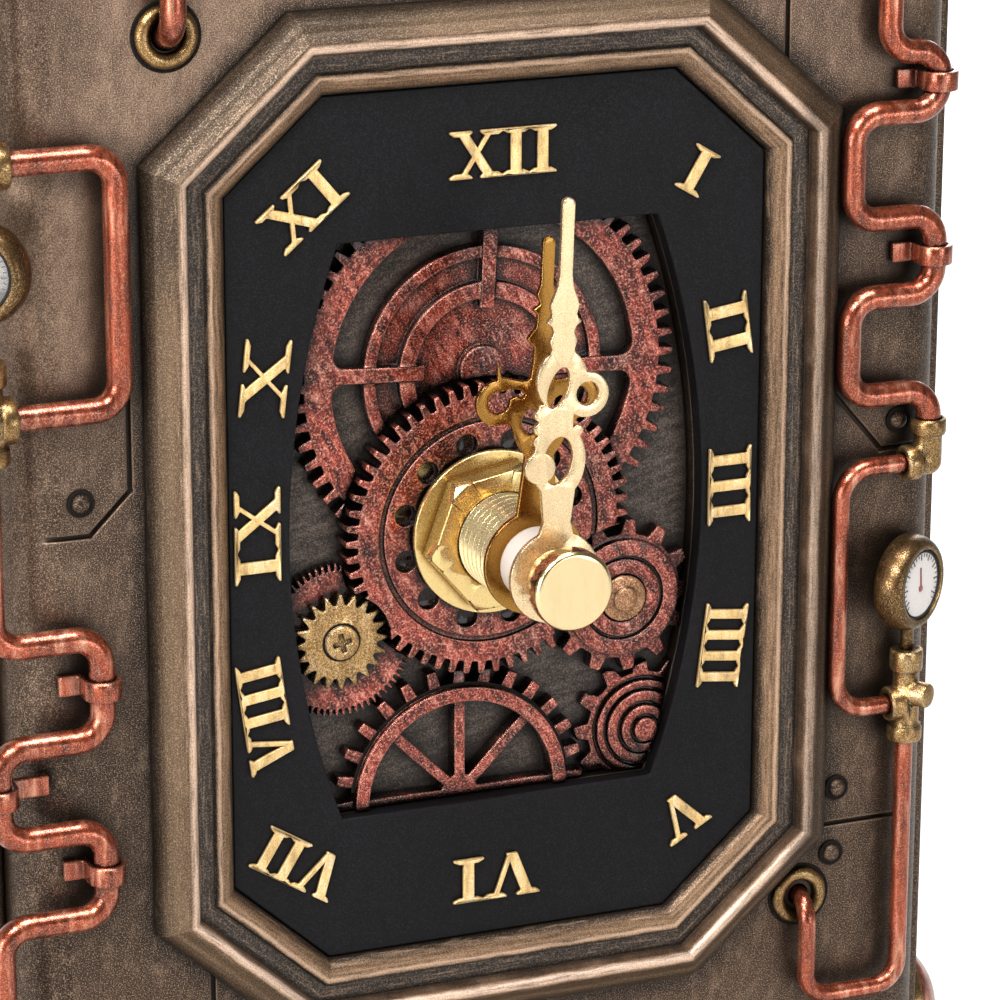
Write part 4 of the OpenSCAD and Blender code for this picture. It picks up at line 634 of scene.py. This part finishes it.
def turned(form, rows, place, steps=64, sweep=math.tau):
    """A closed section of (radius, height) rows in metres, spun round the Z axis of a place."""
    points = [form.verts.new(place @ Vector((r, 0, h))) for r, h in rows]
    loop = [form.edges.new((a, b)) for a, b in zip(points, points[1:] + points[:1])]
    cap = [form.faces.new(points)] if sweep < math.tau else []
    bmesh.ops.spin(form, geom=points + loop + cap, cent=place.translation,
                   axis=place.to_3x3().col[2], angle=sweep, steps=steps, use_merge=not cap)


def tidied(form):
    """Welds a spun mesh and turns its faces outwards."""
    bmesh.ops.remove_doubles(form, verts=form.verts, dist=SPIN_NEAR)
    bmesh.ops.recalc_face_normals(form, faces=form.faces)
    return form


stem_low, stem_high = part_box("threaded_stem")
stem_length = stem_high.y - stem_low.y
stem_end = outward(Vector((AXIS.x, stem_low.y, AXIS.z)), (0, 1, 0))
print("stem in mm", round(stem_length / MM, 2))

# %% Stem with a helical thread
STEM_BORE_R = 2.56 * MM
THREAD_PITCH = 1.05 * MM
THREAD_DEPTH = 0.55 * MM
THREAD_FLANK = 0.42 * THREAD_PITCH
THREAD_CREST = 0.1 * THREAD_PITCH
THREAD_ROOT = 0.1 * MM
THREAD_START = 0.3 * MM
TURN_STEPS = 64
STEM_LEAD = 0.35 * MM
thread_r = (stem_high.x - stem_low.x) / 2
core_r = thread_r - THREAD_DEPTH
stem_form = bmesh.new()
turned(stem_form, [(STEM_BORE_R, 0), (core_r - STEM_LEAD, 0), (core_r, STEM_LEAD),
                   (core_r, stem_length), (STEM_BORE_R, stem_length)], stem_end, 96)
thread_from = stem_low.y + THREAD_START
thread_turns = int((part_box("stem_nut")[1].y - thread_from) / THREAD_PITCH)
ridge = [stem_form.verts.new((AXIS.x + r, thread_from + y, AXIS.z)) for r, y in
         ((core_r - THREAD_ROOT, 0), (thread_r, THREAD_FLANK - THREAD_CREST),
          (thread_r, THREAD_FLANK + THREAD_CREST), (core_r - THREAD_ROOT, 2 * THREAD_FLANK))]
face = stem_form.faces.new(ridge)
bmesh.ops.spin(stem_form, geom=[face] + list(face.edges) + ridge, cent=AXIS, axis=(0, 1, 0),
               dvec=(0, THREAD_PITCH / TURN_STEPS, 0), angle=math.tau * thread_turns,
               steps=TURN_STEPS * thread_turns)
stem = made_piece(tidied(stem_form), "stem_thread", "clock_case", "bright_brass", "threaded_stem",
                  look="thread_brass")
print("thread turns", thread_turns, "faces", len(stem.data.polygons))

# %% [markdown]
# ## Gauge faces
# Each gauge has a printed scale, a thin red needle under its glass and a black gasket round the
# dial. The marks are slips of print a few hundredths of a millimetre thick, laid round the dial in a
# loop, so that they stay sharp at any size. A gauge's own frame is found from its dial: the middle
# of the disc, and the direction in which it looks.

# %% Frames of the two gauges
UPRIGHT_BELOW = 0.1


def gauge_frame(side):
    """A matrix whose Z looks out of the gauge on that side and whose Y is up."""
    mesh = nodes["gauge_dials"].data
    disc = [v.co for v in mesh.vertices if v.co.x * side > 0]
    middle = sum(disc, Vector()) / len(disc)
    upright = [p for p in mesh.polygons if p.center.x * side > 0 and abs(p.normal.z) < UPRIGHT_BELOW]
    facing = max(upright, key=lambda p: p.area).normal.copy()
    if facing.y > 0:
        facing = -facing
    return outward(middle + facing * max((p - middle).dot(facing) for p in disc), facing)


gauges = {"right": gauge_frame(1), "left": gauge_frame(-1)}
print("gauges", {side: place.translation for side, place in gauges.items()})

# %% Marks of a scale
MARK_T = 0.05 * MM
SCALE_FROM, SCALE_TO, SCALE_N = -130, 130, 27
LONG_MARK, SHORT_MARK = (0.62 * MM, 0.14 * MM), (0.34 * MM, 0.09 * MM)
LONG_FIRST, LONG_EVERY = 1, 3
FACE_R = 3.45 * MM
SCALE_R = 0.9 * FACE_R


def slip(form, length, width, place):
    """A thin box of print, length along Y, put in place by a matrix."""
    box = bmesh.ops.create_cube(form, size=1)["verts"]
    bmesh.ops.scale(form, vec=(width, length, MARK_T), verts=box)
    bmesh.ops.transform(form, matrix=place, verts=box)


scales = {side: bmesh.new() for side in gauges}
for side, place in gauges.items():
    for i in range(SCALE_N):
        angle = math.radians(SCALE_FROM + (SCALE_TO - SCALE_FROM) * i / (SCALE_N - 1))
        length, width = LONG_MARK if i % LONG_EVERY == LONG_FIRST else SHORT_MARK
        at_edge = Matrix.Translation((0, SCALE_R - length / 2, MARK_T / 2))
        slip(scales[side], length, width, place @ Matrix.Rotation(-angle, 4, "Z") @ at_edge)
print("gauge marks", len(scales) * SCALE_N)

# %% Scales, needles and gaskets
NEEDLE_L, NEEDLE_W, NEEDLE_UP = 2.3 * MM, 0.26 * MM, 0.6 * MM
NEEDLE_TURN = Matrix.Rotation(math.radians(4), 4, "Z")
HUB_FOOT_R, HUB_TOP_R, HUB_H, HUB_UP = 0.36 * MM, 0.26 * MM, 0.12 * MM, -0.4 * MM
GASKET_FOOT, GASKET_TOP, GASKET_H = 0.26 * MM, 0.2 * MM, 0.12 * MM
for side, place in gauges.items():
    made_piece(scales[side], side + "_gauge_scale", "clock_case", "gauge_paper", look="print_grey")
    needle = bmesh.new()
    slip(needle, NEEDLE_L, NEEDLE_W, place @ NEEDLE_TURN @ Matrix.Translation((0, NEEDLE_UP, MARK_T)))
    bmesh.ops.create_cone(needle, cap_ends=True, segments=24, radius1=HUB_FOOT_R, radius2=HUB_TOP_R,
                          depth=HUB_H, matrix=place @ Matrix.Translation((0, HUB_UP, HUB_H / 2)))
    made_piece(needle, side + "_gauge_needle", "clock_case", "gauge_paper", look="needle_red")
    gasket = bmesh.new()
    turned(gasket, [(FACE_R - GASKET_FOOT, 0), (FACE_R - GASKET_TOP, GASKET_H), (FACE_R, GASKET_H),
                    (FACE_R, 0)], place)
    made_piece(tidied(gasket), side + "_gauge_gasket", "clock_case", "rubber_black")
print("gauges dressed", len(gauges))

# %% [markdown]
# ## Rivets and grommets in dark rings of wash and painted shade
# A rivet on the real case is a small dome in a ring that is almost black, and only its top is rubbed
# bright. The ring is a separate dark piece: partly wash, and partly painted shade at the dome's foot.
# The brass grommets of the pipes sit in such dark rings too. Domes and rings are short sections spun
# round an axis. Where the rivets are, and which way they look, comes from the solid: it is split into
# its separate lumps, and a lump is thinnest along its axis.


# %% Lumps of a solid
def lumps(node):
    """The box of each separate lump of a node, as its lowest and highest corner."""
    form = welded(node)
    waiting = set(form.verts)
    boxes = []
    while waiting:
        front = [waiting.pop()]
        found = list(front)
        while front:
            near = {e.other_vert(v) for v in front for e in v.link_edges} & waiting
            waiting -= near
            front = list(near)
            found += front
        boxes.append([Vector([pick(v.co[i] for v in found) for i in range(3)]) for pick in (min, max)])
    form.free()
    return boxes


rivets, grommets = lumps("case_rivets"), lumps("pipe_grommets")
print("rivets", len(rivets), "grommets", len(grommets))

# %% Rivet domes and their dark rings of wash and painted shade
RIVET_R, RIVET_H, RIVET_FOOT = 0.9 * MM, 0.5 * MM, 0.2 * MM
DOME = ((1, 0.1), (0.86, 0.55), (0.55, 0.88), (0.2, 1), (0, 1))  # shares of radius and height
SEAT_R, SEAT_H = 1.3 * MM, 0.05 * MM
SEAT_UNDER = 0.9 * RIVET_R


def seat_rows(inner, outer, foot):
    """The section of a low dark ring whose outer rim slopes down to the case."""
    return [(inner, -foot), (inner, SEAT_H), (outer - SEAT_H, SEAT_H), (outer, 0), (outer, -foot)]


domes, wash_and_shade_rings = bmesh.new(), bmesh.new()
for low, high in rivets:
    size = high - low
    way = min(range(3), key=lambda i: size[i])
    middle = (low + high) / 2
    facing = Vector([math.copysign(1, middle[i]) if i == way else 0 for i in range(3)])
    top = high[way] if middle[way] > 0 else low[way]
    middle[way] = top - facing[way] * (size[way] - RIVET_FOOT)
    place = outward(middle, facing)
    turned(domes, [(0, -RIVET_FOOT), (RIVET_R, -RIVET_FOOT)]
           + [(r * RIVET_R, h * RIVET_H) for r, h in DOME], place, 32)
    turned(wash_and_shade_rings, seat_rows(SEAT_UNDER, SEAT_R, RIVET_FOOT), place, 32)
made_piece(tidied(domes), "rivet_domes", "clock_case", "panel_bronze", "case_rivets")
made_piece(tidied(wash_and_shade_rings), "rivet_wash_and_shade_rings", "clock_case", "panel_bronze", look="shade_and_wash_black")
print("rivet domes", len(rivets))

# %% Dark rings of wash and painted shade under the brass grommets
CASE_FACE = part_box("case_shell")[0].y
GROMMET_SEAT = 0.34 * MM
grommet_wash_and_shade_rings = bmesh.new()
for low, high in grommets:
    rim = (high.x - low.x) / 2
    foot = Vector(((low.x + high.x) / 2, CASE_FACE, (low.z + high.z) / 2))
    turned(grommet_wash_and_shade_rings, seat_rows(rim - GROMMET_SEAT, rim + GROMMET_SEAT, SEAT_H),
           outward(foot, (0, -1, 0)))
made_piece(tidied(grommet_wash_and_shade_rings), "grommet_wash_and_shade_rings", "clock_case", "panel_bronze", look="shade_and_wash_black")
print("grommet seats", len(grommets))

# %% [markdown]
# ## Lines of wash and painted shade in the relief
# Two fine grooves in the relief read as black lines: one outside the raised rim of the spoked wheel
# and one round the brass screw. Their black is partly wash and partly painted shade in the groove.
# Each is a thin dark slip, a flat section swept round the wheel's middle. The spoked wheel shows its
# upper half only, so its line ends where the window does. A line's row below gives its middle seen
# from the dial's, its depth and two radii in millimetres, and the angles of its ends.

# %% Two dark lines
LINE_T = 0.04 * MM
WASH_AND_SHADE_LINES = {"spoked_rim_line": ((-3.4, -27.75), 1.7, 10.85, 11.25, (8, 172)),
              "screw_line": ((-15.65, -10.65), 1.0, 1.6, 1.9, (0, 360))}
for name, ((x, z), depth, inner, outer, (start, end)) in WASH_AND_SHADE_LINES.items():
    line = bmesh.new()
    middle = outward(DIAL + Vector((x, depth, z)) * MM, (0, -1, 0))
    turned(line, [(inner * MM, -LINE_T), (outer * MM, -LINE_T), (outer * MM, LINE_T),
                  (inner * MM, LINE_T)],
           middle @ Matrix.Rotation(math.radians(start), 4, "Z"), 96, math.radians(end - start))
    made_piece(tidied(line), name, "clock_case", "relief_copper", look="shade_and_wash_black")
print("wash lines", len(WASH_AND_SHADE_LINES))

# %% [markdown]
# ## The cell and its spring
# Through the opening in the rear cover one sees the cell. It is a metal can in a printed sleeve that
# stops short of both ends, with a copper-coloured band at the positive end. At the other end a coil
# spring presses on it: a small circle swept round the cell's axis while it moves along it.

# %% Sleeve, band and can of the cell
cell_low, cell_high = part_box("battery")
cell_middle = (cell_low + cell_high) / 2
cell_r = (cell_high.z - cell_low.z) / 2
cell_l = cell_high.x - cell_low.x
NUB_L, NUB_R, NUB_SOFT = 1.4 * MM, 2.6 * MM, 0.3 * MM
CELL_LIP = 0.5 * MM
BAND_L = 11 * MM
SLEEVE_SHORT, SLEEVE_SOFT = 0.4 * MM, 0.15 * MM
can_r = cell_r - CELL_LIP
shoulder = cell_l - NUB_L


def along_cell(x):
    """A place on the cell's axis whose Z runs towards the positive end."""
    return outward(Vector((x, cell_middle.y, cell_middle.z)), (1, 0, 0))


def sleeve_piece(name, slot, start, end):
    """A tube on the can from start to end whose outer rims are softened."""
    form = bmesh.new()
    turned(form, [(can_r, start), (cell_r - SLEEVE_SOFT, start), (cell_r, start + SLEEVE_SOFT),
                  (cell_r, end - SLEEVE_SOFT), (cell_r - SLEEVE_SOFT, end), (can_r, end)],
           along_cell(cell_low.x))
    made_piece(tidied(form), name, "clock_case", slot)


can = bmesh.new()
turned(can, [(0, 0), (can_r - CELL_LIP, 0), (can_r, CELL_LIP), (can_r, shoulder - CELL_LIP),
             (can_r - CELL_LIP, shoulder), (NUB_R, shoulder), (NUB_R, cell_l - NUB_SOFT),
             (NUB_R - NUB_SOFT, cell_l), (0, cell_l)], along_cell(cell_low.x))
made_piece(tidied(can), "cell_can", "clock_case", "steel", "battery")
sleeve_piece("cell_sleeve", "battery_can", SLEEVE_SHORT, shoulder - BAND_L)
sleeve_piece("cell_band", "coil_copper", shoulder - BAND_L, shoulder - SLEEVE_SHORT)
print("cell", round(cell_l / MM, 1), "mm")

# %% Spring and leaf that hold the cell
SPRING_R, SPRING_TURNS, STEPS_A_TURN = 3.3 * MM, 2, 36
WIRE_R, WIRE_SIDES = 0.3 * MM, 8
LEAF_TIP_R, LEAF_BEND_R, LEAF_R = 2 * MM, 2.6 * MM, 3.9 * MM
LEAF_BEND, LEAF_RIM = 0.4, 0.5  # shares of its thickness
contacts = sorted(lumps("battery_contacts"), key=lambda box: box[0].x)
(spring_low, spring_high), (leaf_low, leaf_high) = contacts
spring_axis = along_cell(spring_low.x)
spring_run = spring_high.x - spring_low.x - 2 * WIRE_R
spring_steps = STEPS_A_TURN * SPRING_TURNS
spring = bmesh.new()
bmesh.ops.create_circle(spring, cap_ends=True, segments=WIRE_SIDES, radius=WIRE_R,
                        matrix=spring_axis @ Matrix.Translation((SPRING_R, 0, WIRE_R))
                        @ Matrix.Rotation(math.radians(90), 4, "X"))
bmesh.ops.spin(spring, geom=spring.verts[:] + spring.edges[:] + spring.faces[:],
               cent=spring_axis.translation, axis=(1, 0, 0), dvec=(spring_run / spring_steps, 0, 0),
               angle=math.tau * SPRING_TURNS, steps=spring_steps)
leaf_t = leaf_high.x - leaf_low.x
turned(spring, [(0, 0), (LEAF_TIP_R, 0), (LEAF_BEND_R, LEAF_BEND * leaf_t),
                (LEAF_R, LEAF_RIM * leaf_t), (LEAF_R, leaf_t), (0, leaf_t)],
       along_cell(leaf_low.x), 48)
made_piece(tidied(spring), "cell_contacts", "clock_case", "steel", "battery_contacts")
print("spring turns", SPRING_TURNS)

# %% [markdown]
# ## The movement's back
# A quartz movement is two black mouldings. Round its setting knob the cover has a raised ring with
# short ribs, which guides the fingers and stiffens the plate. The ring is a turned section. One rib
# is a cube scaled to a short bar, and it is placed round the knob in a loop.

# %% Ring and ribs round the setting knob
RING_W, RING_H, RING_SOFT = 0.8 * MM, 0.7 * MM, 0.15 * MM
RIBS, RIB_L, RIB_W = 12, 1.6 * MM, 0.6 * MM
RIB_OUT = 3.2 * RING_W
SUNK = 0.1 * MM
knob_low, knob_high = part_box("setting_knob")
knob_middle = (knob_low + knob_high) / 2
knob_r = (knob_high.x - knob_low.x) / 2
knob_axis = outward(Vector((knob_middle.x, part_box("movement_cover")[1].y, knob_middle.z)), (0, 1, 0))
ring_in, ring_out = knob_r + RING_W, knob_r + 2 * RING_W
rib_at = Matrix.Translation((knob_r + RIB_OUT, 0, RING_H / 2 - SUNK))
guide = bmesh.new()
turned(guide, [(ring_in, -SUNK), (ring_in, RING_H - RING_SOFT), (ring_in + 0.2 * RING_W, RING_H),
               (ring_out - 0.2 * RING_W, RING_H), (ring_out, RING_H - RING_SOFT), (ring_out, -SUNK)],
       knob_axis, 72)
tidied(guide)
for i in range(RIBS):
    rib = bmesh.ops.create_cube(guide, size=1)["verts"]
    bmesh.ops.scale(guide, vec=(RIB_L, RIB_W, RING_H), verts=rib)
    spoke = Matrix.Rotation(math.tau * i / RIBS, 4, "Z") @ rib_at
    bmesh.ops.transform(guide, matrix=knob_axis @ spoke, verts=rib)
made_piece(guide, "knob_guide", "clock_case", "black_plastic")
print("ribs", RIBS)

# %% [markdown]
# ## Screws of the rear cover
# The cover is held by four pan-head screws. A head is a short cone with a rounded rim, and its
# cross slot is pressed in: the top face is cut along two narrow bars and the cross is sunk. One head
# is made and then placed four times.

# %% One cross-slot screw head
HEAD_R, HEAD_H, HEAD_SOFT = 2.04 * MM, 1.3 * MM, 0.3 * MM
HEAD_TOP_R = 0.78 * HEAD_R
SLOT_W, SLOT_DEPTH = 0.36 * MM, 0.5 * MM
UPWARD = 0.9


def on_top(form):
    """The faces that look up."""
    return [f for f in form.faces if f.normal.z > UPWARD]


def in_slot(face):
    """Whether a top face lies within one of the slot's two bars."""
    middle = face.calc_center_median()
    return min(abs(middle.x), abs(middle.y)) < SLOT_W / 2


head = bmesh.new()
bmesh.ops.create_cone(head, cap_ends=True, segments=48, radius1=HEAD_R, radius2=HEAD_TOP_R,
                      depth=HEAD_H, matrix=Matrix.Translation((0, 0, HEAD_H / 2)))
rim = [e for e in head.edges if all(v.co.z > HEAD_H / 2 for v in e.verts)]
bmesh.ops.bevel(head, geom=rim, offset=HEAD_SOFT, offset_type="OFFSET", segments=3, profile=0.5,
                affect="EDGES", material=-1)
for across in (Vector((1, 0, 0)), Vector((0, 1, 0))):
    for offset in (-SLOT_W / 2, SLOT_W / 2):
        cap = on_top(head)
        geom = cap + list({e for f in cap for e in f.edges}) + list({v for f in cap for v in f.verts})
        bmesh.ops.bisect_plane(head, geom=geom, plane_co=across * offset, plane_no=across)
slot_faces = [f for f in on_top(head) if in_slot(f)]
sunk = bmesh.ops.extrude_face_region(head, geom=slot_faces)["geom"]
bmesh.ops.translate(head, vec=(0, 0, -SLOT_DEPTH),
                    verts=[v for v in sunk if isinstance(v, bmesh.types.BMVert)])
bmesh.ops.delete(head, geom=slot_faces, context="FACES")
head_mesh = bpy.data.meshes.new("screw_head")
head.to_mesh(head_mesh)
head.free()
print("faces of one head", len(head_mesh.polygons))

# %% Four heads on the cover
screw_low, screw_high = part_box("cover_screws")
cover_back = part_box("rear_cover")[1].y
heads = bmesh.new()
for x in (screw_low.x + HEAD_R, screw_high.x - HEAD_R):
    for z in (screw_low.z + HEAD_R, screw_high.z - HEAD_R):
        before = len(heads.verts)
        heads.from_mesh(head_mesh)
        upright = Matrix.Translation((x, cover_back, z)) @ Matrix.Rotation(math.radians(-90), 4, "X")
        bmesh.ops.transform(heads, matrix=upright, verts=heads.verts[before:])
bpy.data.meshes.remove(head_mesh)
screws = made_piece(tidied(heads), "cover_screw_heads", "clock_case", "steel", "cover_screws")
print("screw faces", len(screws.data.polygons))
